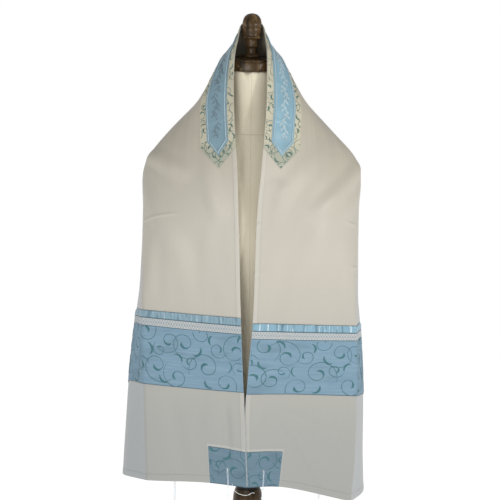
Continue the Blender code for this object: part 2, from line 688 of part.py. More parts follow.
def unite(pieces, name):
    """One solid from overlapping pieces, by Boolean unions."""
    whole = object_from_faces(*pieces[0])
    for points, faces in pieces[1:]:
        other = object_from_faces(points, faces)
        union = whole.modifiers.new("join", "BOOLEAN")
        union.operation = "UNION"
        union.use_self = True
        union.object = other
        graph = bpy.context.evaluated_depsgraph_get()
        joined = bpy.data.meshes.new_from_object(whole.evaluated_get(graph))
        whole.modifiers.clear()
        whole.data = joined
        bpy.data.objects.remove(other, do_unlink=True)
    whole.name = name
    return whole


def loop_route(cloth, row, column, hem_row):
    """The loop's route: from below the hem up the outer face, through the hole and down the inner face."""
    hole = 0.25 * sum(cloth.points[row + a, column + b] for a in (0, 1) for b in (0, 1))
    out = cloth.normals[row, column]
    hem = 0.5 * (cloth.points[hem_row, column] + cloth.points[hem_row, column + 1])
    rise = hole - hem
    inner = CLOTH_THICKNESS / 2 + LOOP_CLEARANCE + LOOP_THICKNESS / 2
    outer = inner + TRIM_THICKNESS + SEAM_GAP
    upward = rise / np.linalg.norm(rise)
    below = hem - upward * KNOT_START
    under = hem - upward * LOOP_THICKNESS
    return hem, [
        below,
        under + out * outer * LOOP_TURN,
        hem + out * outer,
        hole + out * outer,
        hole - out * inner,
        hem - out * inner,
        under - out * inner * LOOP_TURN,
        below - upward * LOOP_THICKNESS / 4,
    ]


def strand_route(hem, strand, side):
    """One hanging strand's route from the windings to its end."""
    turn = 2 * math.pi * (strand + 0.5) / STRANDS
    part = np.linspace(0.0, 1.0, STRAND_BENDS)
    sway = 1.0 + STRAND_SPREAD["uneven"] * math.sin(STRAND_SPREAD["turn"] * strand + side)
    reach = STRAND_SPREAD["root"] + STRAND_SPREAD["reach"] * np.sin(part * STRAND_SPREAD["bend"]) * sway
    drift = STRAND_DRIFT["distance"] * np.sin(STRAND_DRIFT["bend"] * part + strand) * part
    length = STRAND_LENGTH * (1.0 - STRAND_TRIM * ((strand * 3) % STRANDS) / STRANDS)
    x = hem[0] + reach * math.cos(turn) + drift
    y = hem[1] + reach * math.sin(turn)
    z = hem[2] - STRAND_ROOT - part * length
    return np.stack([x, y, z], axis=1)


def build_tassel(cloth, collection, name, side, near_edge):
    if near_edge:
        column = cloth.columns(*HOLE_FROM_EDGE)[0]
    else:
        column = cloth.columns(WIDTH - HOLE_FROM_EDGE[1], WIDTH - HOLE_FROM_EDGE[0])[0]
    low, high = sorted(side * value for value in HOLE_ALONG)
    row = cloth.rows(low, high)[0]
    hem_row = len(cloth.along) - 1 if side > 0 else 0
    hem, route = loop_route(cloth, row, column, hem_row)
    pieces = [turned_faces(WINDINGS, hem)]
    pieces.append(square_strand(route, LOOP_THICKNESS))
    for strand in range(STRANDS):
        pieces.append(square_strand(strand_route(hem, strand, side), STRAND_THICKNESS))
    finish_object(unite(pieces, name), name, "white thread", collection)


def build_tassels(cloth, collection):
    for side, word in ((-1.0, "left"), (1.0, "right")):
        build_tassel(cloth, collection, "tzitzit_front_" + word, side, True)
        build_tassel(cloth, collection, "tzitzit_back_" + word, side, False)


def main():
    clear_scene()
    collection = make_collection("tallit on a dress form")
    cloth = Cloth()
    build_shawl(cloth, collection)
    build_form(collection)
    build_tassels(cloth, collection)


main()
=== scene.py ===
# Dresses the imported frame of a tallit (prayer shawl) on a dress form.
# Metres, +Z up, +Y to the back. Lengths inside the dictionaries and tables are in millimetres.
import math

import bpy
import numpy as np
from mathutils import Matrix, Vector


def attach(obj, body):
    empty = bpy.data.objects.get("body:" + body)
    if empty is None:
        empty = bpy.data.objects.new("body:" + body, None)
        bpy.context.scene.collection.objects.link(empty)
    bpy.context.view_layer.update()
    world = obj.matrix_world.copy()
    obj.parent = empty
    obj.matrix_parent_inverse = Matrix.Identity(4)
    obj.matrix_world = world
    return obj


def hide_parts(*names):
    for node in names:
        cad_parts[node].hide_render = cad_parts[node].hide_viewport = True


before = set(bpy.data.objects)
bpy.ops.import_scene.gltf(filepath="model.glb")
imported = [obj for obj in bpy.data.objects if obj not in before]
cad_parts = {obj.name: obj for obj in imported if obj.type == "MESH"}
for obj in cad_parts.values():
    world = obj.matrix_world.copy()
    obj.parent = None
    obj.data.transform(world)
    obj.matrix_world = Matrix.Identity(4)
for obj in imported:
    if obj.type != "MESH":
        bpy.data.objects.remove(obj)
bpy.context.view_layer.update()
mm = 0.001


def report(stage):
    print("stage:", stage, flush=True)


def addObject(name, data):
    added = bpy.data.objects.new(name, data)
    bpy.context.scene.collection.objects.link(added)
    return added


def setInputs(node, values):
    for name, value in values.items():
        node.inputs[name].default_value = value


def gridsOf(along, across):
    return np.meshgrid(along, across, indexing="ij")


# Camera, floor and light.
view = {"place": (0.0, -2.69, 1.70), "down": 13.0, "roll": 0.53, "lens": 104.76, "film": 36.0}
studio = {
    "floor": (0.96, 0.96, 0.96),
    "floorSize": 2000.0,
    "floorRoughness": 0.9,
    # a faint even glow, so that the floor stays white to its far edge
    "floorGlow": 0.53,
    "sky": (1.0, 1.0, 1.0),
    "skyPower": 0.50,
    # place, aim, size, power, colour, spread in degrees
    "lights": (
        ("key", (1.15, -1.08, 1.40), (0.05, -0.1, 1.12), 0.14, 9.0, (1.0, 0.975, 0.93), 180.0),
        ("fill", (-0.50, -1.50, 1.22), (-0.14, -0.1, 1.20), 0.5, 2.4, (1.0, 0.985, 0.96), 110.0),
    ),
}


def makeCamera():
    data = bpy.data.cameras.new("camera")
    data.lens = view["lens"]
    data.sensor_width = view["film"]
    data.clip_end = studio["floorSize"]
    camera = addObject("camera", data)
    tilt = Matrix.Rotation(math.radians(90.0 - view["down"]), 4, "X")
    roll = Matrix.Rotation(math.radians(view["roll"]), 4, "Z")
    camera.matrix_world = Matrix.Translation(view["place"]) @ tilt @ roll
    bpy.context.scene.camera = camera


def makeStudio():
    bpy.context.scene.view_settings.view_transform = "Standard"
    world = bpy.data.worlds.new("studio")
    bpy.context.scene.world = world
    world.use_nodes = True
    sky = {"Color": (*studio["sky"], 1.0), "Strength": studio["skyPower"]}
    setInputs(world.node_tree.nodes["Background"], sky)
    for name, place, aim, size, power, colour, spread in studio["lights"]:
        data = bpy.data.lights.new(name, "AREA")
        data.size, data.energy, data.color = size, power, colour
        data.spread = math.radians(spread)
        lamp = addObject(name, data)
        lamp.location = place
        lamp.rotation_euler = (Vector(aim) - Vector(place)).to_track_quat("-Z", "Y").to_euler()
    bpy.ops.object.select_all(action="DESELECT")
    bpy.ops.mesh.primitive_plane_add(size=studio["floorSize"], location=(0.0, 0.0, 0.0))
    floor = bpy.context.object
    floor.name = "floor"
    paint = bpy.data.materials.new("pale floor")
    paint.use_nodes = True
    setInputs(paint.node_tree.nodes["Principled BSDF"], {
        "Base Color": (*studio["floor"], 1.0),
        "Roughness": studio["floorRoughness"],
        "Emission Color": (1.0, 1.0, 1.0, 1.0),
        "Emission Strength": studio["floorGlow"],
    })
    floor.data.materials.append(paint)


def mathsNode(operation):
    return lambda self, *others: self.finish.maths(operation, self, *others)


class Reading:
    # one shader value, which plain arithmetic turns into Math nodes
    def __init__(self, finish, socket):
        self.finish = finish
        self.socket = socket

    __add__ = __radd__ = mathsNode("ADD")
    __sub__ = mathsNode("SUBTRACT")
    __mul__ = __rmul__ = mathsNode("MULTIPLY")
    __abs__ = mathsNode("ABSOLUTE")
    above = mathsNode("GREATER_THAN")
    below = mathsNode("LESS_THAN")
    sine = mathsNode("SINE")

    def __rsub__(self, other):
        return self.finish.maths("SUBTRACT", other, self)

    def rise(self, low, high):
        # smooth 0 to 1 between two limits
        inputs = {"Value": self, "From Min": low, "From Max": high}
        node = self.finish.add("ShaderNodeMapRange", {"interpolation_type": "SMOOTHSTEP"}, inputs)
        return Reading(self.finish, node.outputs["Result"])


class Finish:
    # a material built up in layers over one plain colour
    def __init__(self, name, colour, roughness, **constants):
        self.material = bpy.data.materials.new(name)
        self.material.use_nodes = True
        self.tree = self.material.node_tree
        self.shader = self.tree.nodes["Principled BSDF"]
        setInputs(self.shader, {key.replace("_", " "): value for key, value in constants.items()})
        self.feed(self.shader.inputs["Roughness"], roughness)
        self.wear((*colour, 1.0))

    def feed(self, socket, value):
        value = value.socket if isinstance(value, Reading) else value
        if isinstance(value, bpy.types.NodeSocket):
            self.tree.links.new(value, socket)
        else:
            socket.default_value = value

    def add(self, kind, settings=None, inputs=None):
        node = self.tree.nodes.new(kind)
        for key, value in (settings or {}).items():
            setattr(node, key, value)
        for key, value in (inputs or {}).items():
            self.feed(node.inputs[key], value)
        return node

    def maths(self, operation, *values):
        node = self.add("ShaderNodeMath", {"operation": operation}, dict(enumerate(values)))
        return Reading(self, node.outputs[0])

    def split(self, vector):
        node = self.add("ShaderNodeSeparateXYZ", None, {0: vector})
        return [Reading(self, socket) for socket in node.outputs]

    def along(self):
        # the piece's own flat cloth coordinates: across and along, in metres
        return self.split(self.add("ShaderNodeUVMap", {"uv_map": "flat"}).outputs["UV"])[:2]

    def place(self):
        # place in the object, in metres
        return self.split(self.add("ShaderNodeTexCoord").outputs["Object"])

    def hollow(self):
        # how deep the painted shade lies at a point: mostly how far it lies down in the piece's own relief, 0
        # on top, 1 at the bottom
        node = self.add("ShaderNodeAttribute", {"attribute_name": "hollow"})
        return Reading(self, node.outputs["Fac"])

    def noise(self, *place, scale=1.0, detail=2.0, roughness=0.5):
        spot = self.add("ShaderNodeCombineXYZ", None, dict(enumerate(place))).outputs["Vector"]
        inputs = {"Vector": spot, "Scale": scale, "Detail": detail, "Roughness": roughness}
        return Reading(self, self.add("ShaderNodeTexNoise", None, inputs).outputs["Fac"])

    def wear(self, colour):
        self.colour = colour
        self.feed(self.shader.inputs["Base Color"], colour)

    def tint(self, colour, mask):
        # lay another colour over what the surface has, where the mask is 1
        inputs = {"Factor": mask, 6: self.colour, 7: (*colour, 1.0)}
        self.wear(self.add("ShaderNodeMix", {"data_type": "RGBA"}, inputs).outputs[2])

    def shade(self, amount):
        # lighten or darken the colour by a factor around 1
        colour = self.colour[:3] if isinstance(self.colour, tuple) else self.colour
        node = self.add("ShaderNodeVectorMath", {"operation": "SCALE"}, {0: colour, "Scale": amount})
        self.wear(node.outputs["Vector"])

    def relief(self, height, distance):
        # the last layer: fine relief on the finished material
        node = self.add("ShaderNodeBump", None, {"Height": height, "Distance": distance, "Strength": 1.0})
        self.feed(self.shader.inputs["Normal"], node.outputs["Normal"])
        return self.material


turn = 2.0 * math.pi


def streaked(finish, across, along, fine, strength):
    # threads of uneven thickness that run along the cloth
    streaks = finish.noise(across * fine, along * 6.0, detail=4.0)
    broad = finish.noise(across * (fine * 0.16), along * 3.0)
    finish.shade(1.0 + (streaks - 0.5) * strength + (broad - 0.5) * (strength * 0.8))
    return streaks


stitch = {"pitch": 2.8, "halfWidth": 0.33}


def stitchRow(across, distance, along):
    # a row of running stitches: 1 on a stitch
    onLine = abs(across - distance * mm).below(stitch["halfWidth"] * mm)
    return onLine * (along * (turn / (stitch["pitch"] * mm))).sine().above(-0.35)


def ivoryFinish():
    finish = Finish(
        "ivory silk", (0.435, 0.402, 0.330), 0.46,
        Sheen_Weight=0.06, Sheen_Roughness=0.4, Specular_IOR_Level=0.3,
    )
    across, along = finish.along()
    height = streaked(finish, across, along, 460.0, 0.20)
    reach, half, side = abs(along), shawl["width"] * 0.5, shawl["sideHem"]
    # painted light and shade: from the shoulders down, the cloth is painted lighter and less yellow than at
    # the neck
    finish.tint((0.470, 0.445, 0.388), reach.rise(0.20, 0.42))
    finish.tint((0.430, 0.410, 0.365), finish.noise(across * 6.0, along * 4.0).rise(0.42, 0.70) * 0.5)
    # painted shade: darker and greyer towards the hems
    finish.tint((0.345, 0.355, 0.340), reach.rise(0.46, 0.84) * 0.9)
    # painted shade: low down, the side beyond the front fold is painted darker and bluer
    finish.tint((0.395, 0.430, 0.460), across.rise(0.189, 0.1925) * reach.rise(0.44, 0.52) * 0.5)
    # the doubled hem down each side edge lets less light through
    finish.tint((0.560, 0.545, 0.500), abs(across - half * mm).above((half - side) * mm) * 0.25)
    # painted highlight: a pale strip on the cloth just above the front corner squares
    highlightAbovePatches = reach.rise(0.8395, 0.8410) * abs(across).below(shawl["patchLine"] * mm)
    finish.tint((0.62, 0.63, 0.60), highlightAbovePatches * 0.3)
    stitches = stitchRow(across, side, along) + stitchRow(across, shawl["width"] - side, along)
    stitches = stitches + stitchRow(reach - shawl["halfLength"] * mm, -shawl["endHem"], across)
    finish.tint((0.36, 0.34, 0.30), stitches * 0.6)
    return finish.relief(height - stitches * 1.6, 0.00022)


def organzaFinish(name, colour, streakColour, scale, tipShade=0.0):
    finish = Finish(name, colour, 0.62, Specular_IOR_Level=0.1)
    across, along = finish.along()
    streaks = finish.noise(across * 14.0, along * 300.0, detail=4.0, roughness=0.6)
    clouds = finish.noise(across * 13.0, along * 34.0, detail=3.0)
    finish.tint(streakColour, streaks.rise(0.42, 0.70) * 0.60 * scale)
    finish.tint(tuple(0.66 * part for part in colour), clouds.rise(0.46, 0.74) * 0.50 * scale)
    # painted shade: towards its tips the neckband ground is painted a darker grey-green
    if tipShade:
        finish.tint((0.270, 0.310, 0.265), abs(along).rise(0.262, 0.292) * tipShade)
    return finish.relief(streaks, 0.00016)


def satinFinish(name, colour, deep, glints):
    finish = Finish(name, colour, 0.30, Specular_IOR_Level=0.5)
    across, along = finish.along()
    streaks = finish.noise(across * 500.0, along * 30.0)
    broad = finish.noise(across * 60.0, along * 14.0)
    finish.shade(1.0 + (streaks - 0.5) * 0.14 + (broad - 0.5) * 0.35)
    # painted shade: the left half of each ribbon is painted darker and greyer
    finish.tint((0.165, 0.225, 0.255), along.below(0.0) * 0.45)
    # painted shade: darker in the dips of the relief, as deep as the hollow attribute says
    finish.tint(deep, finish.hollow().rise(0.25, 1.0) * 0.9)
    # painted highlights: bright streaks on the tops of the folds, stronger on the right half
    tops = finish.noise(across * 210.0, along * 12.0, detail=1.0).rise(0.56, 0.70)
    lit = tops * (1.0 - finish.hollow().rise(0.2, 0.6)) * (0.35 + along.above(0.0) * 0.45)
    finish.tint((0.62, 0.76, 0.83), lit * glints)
    return finish.relief(streaks, 0.00005)


def threadFinish(name, colour, pitch, **constants):
    # twisted thread: slanting plies along each piece's own length
    finish = Finish(name, colour, 0.72, Sheen_Weight=0.3, **constants)
    around, along = finish.along()
    plies = (around * turn + along * (turn / (pitch * mm))).sine()
    # painted shade: a little darker in the grooves between the plies
    finish.shade(0.94 + plies * 0.07)
    return finish.relief(plies, 0.00018)


def laceFinish():
    finish = Finish("white lace", (0.460, 0.490, 0.500), 0.68)
    across, along = finish.along()
    fibres = finish.noise(across * 900.0, along * 900.0)
    finish.shade(0.93 + fibres * 0.14)
    # painted shade: darker where the lace lies low, between its cords and loops
    finish.tint((0.190, 0.225, 0.250), finish.hollow().rise(0.40, 1.0) * 0.62)
    return finish.relief(fibres, 0.0002)


canvas = {
    "weave": 1.1, "chestSeam": 1309.0, "sideSeam": 6.0, "seamReach": 0.6, "sideReach": 0.7, "stitchedAt": 4.5,
}


def canvasFinish():
    finish = Finish("form canvas", (0.780, 0.720, 0.565), 0.88, Sheen_Weight=0.1)
    x, y, z = finish.place()
    weave, reach = turn / (canvas["weave"] * mm), canvas["seamReach"] * mm
    threads = (x * weave).sine() * 0.4 + (z * weave).sine() * 0.4
    slubs = finish.noise(x * 500.0, y * 500.0, z * 22.0)
    stains = finish.noise(x, y, z, scale=9.0, detail=4.0)
    finish.shade(0.94 + slubs * 0.12)
    finish.tint((0.66, 0.60, 0.45), stains.rise(0.45, 0.75) * 0.5)
    seam = abs(x).below(reach) + abs(z - canvas["chestSeam"] * mm).below(reach)
    seam = seam + abs(y - canvas["sideSeam"] * mm).below(canvas["sideReach"] * mm)
    finish.tint((0.44, 0.39, 0.28), seam * 0.24)
    edge = abs(abs(x) - canvas["stitchedAt"] * mm).below(0.0004) * 0.5
    return finish.relief(threads + slubs * 0.8 - seam * 3.0 - edge, 0.0002)


def woodFinish():
    finish = Finish("dark turned wood", (0.050, 0.029, 0.011), 0.24, Specular_IOR_Level=0.22)
    x, y, z = finish.place()
    warp = finish.noise(x * 20.0, y * 20.0, z * 3.0)
    grain = finish.noise(x * 260.0 + warp * 6.0, y * 260.0, z * 12.0, detail=4.0, roughness=0.6)
    wide = finish.noise(x * 60.0 + warp * 3.0, y * 60.0, z * 5.0, detail=3.0)
    finish.tint((0.150, 0.084, 0.031), grain.rise(0.46, 0.72) * 0.6)
    finish.tint((0.010, 0.007, 0.004), wide.rise(0.46, 0.66) * 0.8)
    # golden-brown spots, stronger higher up: partly wear, partly painted highlight
    wear = finish.noise(x, y, z, scale=60.0, detail=5.0)
    finish.tint((0.280, 0.185, 0.085), wear.rise(0.57, 0.70) * z.rise(0.05, 0.60) * 0.5)
    # painted shadow of the shawl's hem: the head of the post, from 0.6 m up, is painted near-black
    finish.tint((0.006, 0.005, 0.004), z.rise(0.5985, 0.6010) * z.below(0.75))
    finish.feed(finish.shader.inputs["Roughness"], 0.20 + grain * 0.16)
    return finish.relief(grain, 0.0004)


def plainStitchFinish(name, colour, leftShade=None):
    # embroidery: short slanting threads
    finish = Finish(name, colour, 0.45, Sheen_Weight=0.1)
    across, along = finish.along()
    # painted shade: the left half of the embroidery is painted in a darker, duller colour
    if leftShade:
        finish.tint(leftShade, along.below(0.0))
    threads = ((across + along) * (turn / 0.0005)).sine()
    # painted shade: a little darker in the grooves between the threads
    finish.shade(0.95 + threads * 0.06)
    return finish.relief(threads, 0.0001)


# The shawl: its draped surface.
shawl = {
    "halfLength": 915.0,
    "width": 508.0,
    "halfThickness": 0.5,
    "sideHem": 8.0,
    "endHem": 13.0,
    "patchLine": 71.5,
    "hemThickness": 0.45,
    "hemStep": 1.2,
    "grid": 5.0,
    "masterGrid": 2.5,
}

# Guide lines run along the cloth from the nape to the hem. Each row is a place along the guide, where it lies
# on the left (out, back, up), and how much further out, back and up the right side lies, where it differs.
guideColumns = ("along", "out", "back", "up", "rightOut", "rightBack", "rightUp")
guides = (
    (0, (
        (0, 0, 20.6, 1506.5), (16, 14.6, 14.4, 1505), (31, 20.4, 0, 1500, -0.5),
        (60, 25, -20.5, 1479.5, -0.6), (100, 30.4, -46.5, 1454, -3), (136, 32, -60, 1421.5, -4.2),
        (188, 31.5, -76, 1373, -4.2), (246, 29, -93, 1321, -4.6), (307, 24.8, -110, 1263.5, -5),
        (391, 21.6, -120, 1182, -8.8), (588, 15.5, -120, 978, -9.6, 0, -10),
        (680, 11.5, -119.5, 884, -12.5, 0, -5), (770, 7.3, -119, 793, -13, 0, -3),
        (845, 4.4, -118.5, 718, -7.9, 0, -1), (915, 1.2, -118, 646.5, -1.4, 0, -0.5),
    )),
    (70, (
        (0, 0, 57, 1446.5), (60, 49, 33, 1438), (122, 75.5, -4, 1409), (188, 93, -40, 1362, -2),
        (246, 92, -62, 1311, -2), (307, 89.5, -83, 1255, -2), (391, 88, -101, 1176, -2),
        (588, 84, -108, 979.5, -4, 0, -16), (728, 79, -110, 837, -5, 0, -7),
        (845, 75, -111, 726.5, -10, -2, -9), (915, 71.5, -111, 652.5, -13, -3, -5),
    )),
    (190, (
        (0, 0, 87.5, 1331), (100, 100, 64, 1320), (190, 163.5, 28, 1285), (285, 198, -8, 1238, 3, 0, 2),
        (350, 196.5, -33, 1178, 1), (430, 196, -55, 1105, 0, 0, -4), (588, 198.5, -78, 981, 1, 0, -28),
        (728, 197, -86, 840, 6, -6, -19), (845, 194.5, -95, 720, 5, -22, -22),
        (915, 192.5, -101, 652.5, 1, -28, -27),
    )),
    (275, (
        (0, 0, 105, 1248), (100, 103, 91, 1243), (190, 167, 64, 1222), (285, 195, 34, 1180, 2),
        (350, 197, 22, 1122, 1), (430, 201, 12, 1060, -1, 0, -4), (588, 216, -6, 960, -5, 0, -22),
        (728, 230, -14, 822, -10, -6, -20), (845, 238, -20, 700, -17, -12, -20),
        (915, 242, -22, 632, -18, -14, -22),
    )),
    (370, (
        (0, 0, 114, 1154), (100, 101, 110, 1148), (190, 164, 98, 1125), (285, 193, 84, 1087, 1),
        (350, 201, 77, 1050), (430, 206, 72, 1002, 0, 0, -4), (588, 216, 68, 900, -4, 0, -12),
        (728, 223, 68, 777, -7, 0, -14), (845, 229, 71, 670, -10, 0, -14), (915, 232, 73, 607, -12, 0, -14),
    )),
    (508, (
        (0, 0, 118, 1017), (100, 94, 117, 1012), (190, 152, 116, 994), (285, 180, 116, 964),
        (350, 186, 117, 938), (430, 184, 119, 902), (588, 168, 125, 826, 0, 0, -4),
        (728, 148, 131, 722, 0, 0, -6), (845, 134, 135, 630, 0, 0, -6), (915, 128, 137, 578, 0, 0, -6),
    )),
)
frontCrease = {"guide": 2, "from": 440.0, "to": 620.0, "sharpness": 0.9}
shoulder = (285.0, 190.0)
flutes = {"firstAngle": 16.0, "angleStep": 34.0, "count": 2, "depth": 46.0, "begins": 60.0, "full": 380.0}
backFold = {"halfWidth": 46.0, "height": 13.0, "begins": 120.0, "full": 420.0}
neckHollow = {"along": 150.0, "across": 112.0, "alongReach": 120.0, "acrossReach": 66.0, "depth": 10.0}

# Soft ridges (+) and hollows (-): side, from (along, across), to (along, across), half width, height.
softCreases = (
    (1, 290, 118, 460, 84, 46, 6.5), (1, 282, 186, 390, 104, 22, 9), (1, 340, 20, 362, 44, 22, 3),
    (1, 330, 30, 420, 16, 14, -1.6), (-1, 258, 182, 322, 100, 24, 6), (-1, 292, 60, 410, 40, 24, 2.8),
    (-1, 430, 60, 560, 56, 30, 2), (-1, 770, 22, 880, 24, 6, 1.5), (-1, 760, 34, 850, 30, 5, -1.3),
    (1, 760, 60, 800, 150, 9, 1.6), (1, 262, 112, 400, 18, 26, 2.2), (1, 318, 186, 486, 78, 34, 5.4),
    (1, 322, 188, 392, 156, 10, 2.4), (1, 470, 60, 580, 30, 26, -2), (1, 480, 140, 580, 150, 24, -1.6),
    (1, 775, 60, 905, 150, 9, 1.9), (1, 745, 100, 830, 176, 8, 1.7), (1, 740, 30, 800, 25, 16, -1.2),
    (-1, 275, 104, 400, 30, 30, 2.4), (-1, 322, 186, 480, 104, 28, 3.6), (-1, 300, 168, 352, 128, 9, 1.5),
    (-1, 440, 150, 560, 154, 24, -2.6), (-1, 470, 112, 580, 92, 30, 2.2), (-1, 500, 60, 580, 46, 22, -1.6),
    (-1, 745, 140, 905, 116, 26, -1.8), (-1, 745, 60, 900, 66, 28, 1.6), (-1, 745, 22, 840, 16, 7, 1.2),
    (-1, 150, 250, 60, 420, 40, -4), (1, 160, 240, 80, 430, 44, -4.5), (-1, 240, 230, 190, 470, 26, 3),
    (1, 232, 236, 176, 480, 28, 3.5), (-1, 90, 160, 30, 300, 36, 2.4), (1, 100, 160, 44, 320, 34, 2.8),
    (-1, 560, 340, 905, 380, 30, -4), (1, 570, 344, 905, 384, 32, -3.6), (-1, 640, 430, 910, 452, 22, 3.4),
    (1, 650, 424, 910, 446, 24, 3.2),
)
# Lines pressed in by folding and ironing: side, from (along, across), to (along, across), half width, height.
pressedLines = (
    (-1, 392, 116, 388, 196, 4.5, 1.1), (1, 396, 150, 392, 196, 4.5, 1.1),
    (1, 474, 172, 472, 196, 4.5, 1.2), (1, 417, -4, 416, 16, 4.5, 1.5), (1, 499, -2, 497, 14, 4.5, 1.2),
    (-1, 424, 240, 428, 330, 4.5, 0.5), (1, 434, 250, 430, 330, 4.5, 0.5), (-1, 0, 254, 230, 254, 4.5, 0.6),
    (1, 0, 254, 230, 254, 4.5, 0.6),
)
pressedSharply = 5  # so many rows, from the top, get grid lines of their own
pressedReach = 1.6


def smoothStep(value, low, high):
    part = np.clip((value - low) / (high - low), 0.0, 1.0)
    return part * part * (3.0 - 2.0 * part)


def ridge(distance, halfWidth):
    return 0.5 + 0.5 * np.cos(math.pi * np.clip(np.abs(distance) / halfWidth, 0.0, 1.0))


def inRows(numbers, values):
    # one number for each row of values
    return np.asarray(numbers, float).reshape((-1,) + (1,) * (values.ndim - 1))


def slopesAt(knots, values):
    # slope at each knot, as a parabola through three knots has it
    steps = np.diff(inRows(knots, values), axis=0)
    rises = np.diff(values, axis=0) / steps
    slopes = np.empty_like(values)
    slopes[0], slopes[-1] = rises[0], rises[-1]
    before, after = steps[:-1], steps[1:]
    slopes[1:-1] = (rises[:-1] * after + rises[1:] * before) / (before + after)
    return slopes


def curveBetween(knots, values, slopesOut, slopesIn, where):
    index = np.clip(np.searchsorted(knots, where, side="right") - 1, 0, len(knots) - 2)
    knots = inRows(knots, values)
    step = knots[index + 1] - knots[index]
    part = (inRows(where, values) - knots[index]) / step
    left = 1 - part
    start = (1 + 2 * part) * left**2 * values[index] + part * left**2 * step * slopesOut[index]
    end = part**2 * (3 - 2 * part) * values[index + 1] + part**2 * (part - 1) * step * slopesIn[index + 1]
    return start + end


def smoothRoute(points, count):
    # a smooth curve through a few points, given by as many points as wanted
    knots = np.arange(len(points), dtype=float)
    slopes = slopesAt(knots, points)
    return curveBetween(knots, points, slopes, slopes, np.linspace(0.0, len(points) - 1.0, count))


def guidePoints(side, along):
    lines = []
    for _, rows in guides:
        rows = [row + (0,) * (len(guideColumns) - len(row)) for row in rows]
        column = dict(zip(guideColumns, np.array(rows, float).T))
        places = np.stack([column["out"], column["back"], column["up"]], axis=1)
        if side > 0:
            places = places + np.stack([column["rightOut"], column["rightBack"], column["rightUp"]], axis=1)
        mirrored = places[:0:-1] * (-1.0, 1.0, 1.0)
        knots = np.concatenate([-column["along"][:0:-1], column["along"]])
        values = np.concatenate([mirrored, places])
        slopes = slopesAt(knots, values)
        lines.append(curveBetween(knots, values, slopes, slopes, along) * (side, 1.0, 1.0))
    return np.stack(lines, axis=1)


def plainSurface(side, along, across):
    knots = [guide[0] for guide in guides]
    lines = guidePoints(side, along)
    at = frontCrease["guide"]
    sharpness = frontCrease["sharpness"] * smoothStep(along, frontCrease["from"], frontCrease["to"])
    rows = []
    for points, sharp in zip(lines, sharpness):
        slopesIn = slopesAt(knots, points)
        slopesOut = slopesIn.copy()
        before = (points[at] - points[at - 1]) / (knots[at] - knots[at - 1])
        after = (points[at + 1] - points[at]) / (knots[at + 1] - knots[at])
        slopesIn[at] += sharp * (before - slopesIn[at])
        slopesOut[at] += sharp * (after - slopesOut[at])
        rows.append(curveBetween(knots, points, slopesOut, slopesIn, across))
    return np.stack(rows)


def largeFolds(along, across):
    down, back = along - shoulder[0], across - shoulder[1]
    angle = np.degrees(np.arctan2(back, down))
    turns = np.clip((angle - flutes["firstAngle"]) / flutes["angleStep"], 0.0, flutes["count"])
    hollow = 0.5 - 0.5 * np.cos(turn * turns)
    heights = -flutes["depth"] * hollow * smoothStep(np.hypot(down, back), flutes["begins"], flutes["full"])
    grown = smoothStep(across, backFold["begins"], backFold["full"])
    heights += backFold["height"] * ridge(along, backFold["halfWidth"]) * grown
    beside = ridge(along - neckHollow["along"], neckHollow["alongReach"])
    beside *= ridge(across - neckHollow["across"], neckHollow["acrossReach"])
    return heights - neckHollow["depth"] * beside


def creaseHeights(table, side, along, across):
    # each crease fades out towards both its ends
    heights = np.zeros_like(along)
    for creaseSide, along0, across0, along1, across1, halfWidth, height in table:
        if creaseSide != side:
            continue
        run = np.array([along1 - along0, across1 - across0], float)
        part = ((along - along0) * run[0] + (across - across0) * run[1]) / (run @ run)
        held = np.clip(part, 0.0, 1.0)
        distance = np.hypot(along - along0 - held * run[0], across - across0 - held * run[1])
        strength = smoothStep(part, -0.25, 0.3) * (1.0 - smoothStep(part, 0.7, 1.25))
        heights += height * ridge(distance, halfWidth) * strength
    return heights


def ripples(side, along, across):
    # slow unevenness of hanging cloth, stilled at the neckband and where bands hold it flat
    free = smoothStep(np.hypot(across, along - 250.0), 70.0, 150.0) * smoothStep(along, 40.0, 140.0)
    wave = 0.7 * np.sin(across / 27.0 + along / 260.0 + side) * smoothStep(along, 380.0, 700.0)
    wave += 0.6 * np.sin(across / 61.0 - along / 93.0 + 2.0 * side)
    wave += 0.3 * np.sin(along / 37.0 + across / 44.0 + 1.3 * side) * np.sin(across / 83.0 + 0.6)
    return wave * free


def gridNormals(points):
    normals = np.cross(np.gradient(points, axis=0), np.gradient(points, axis=1))
    return normals / np.linalg.norm(normals, axis=2, keepdims=True)


def drapedHalf(side, along, across):
    plain = plainSurface(side, along, across)
    normals = gridNormals(plain) * side
    along, across = gridsOf(along, across)
    heights = largeFolds(along, across)
    heights += creaseHeights(softCreases, side, along, across)
    heights += ripples(side, along, across)
    return plain + normals * heights[:, :, None]


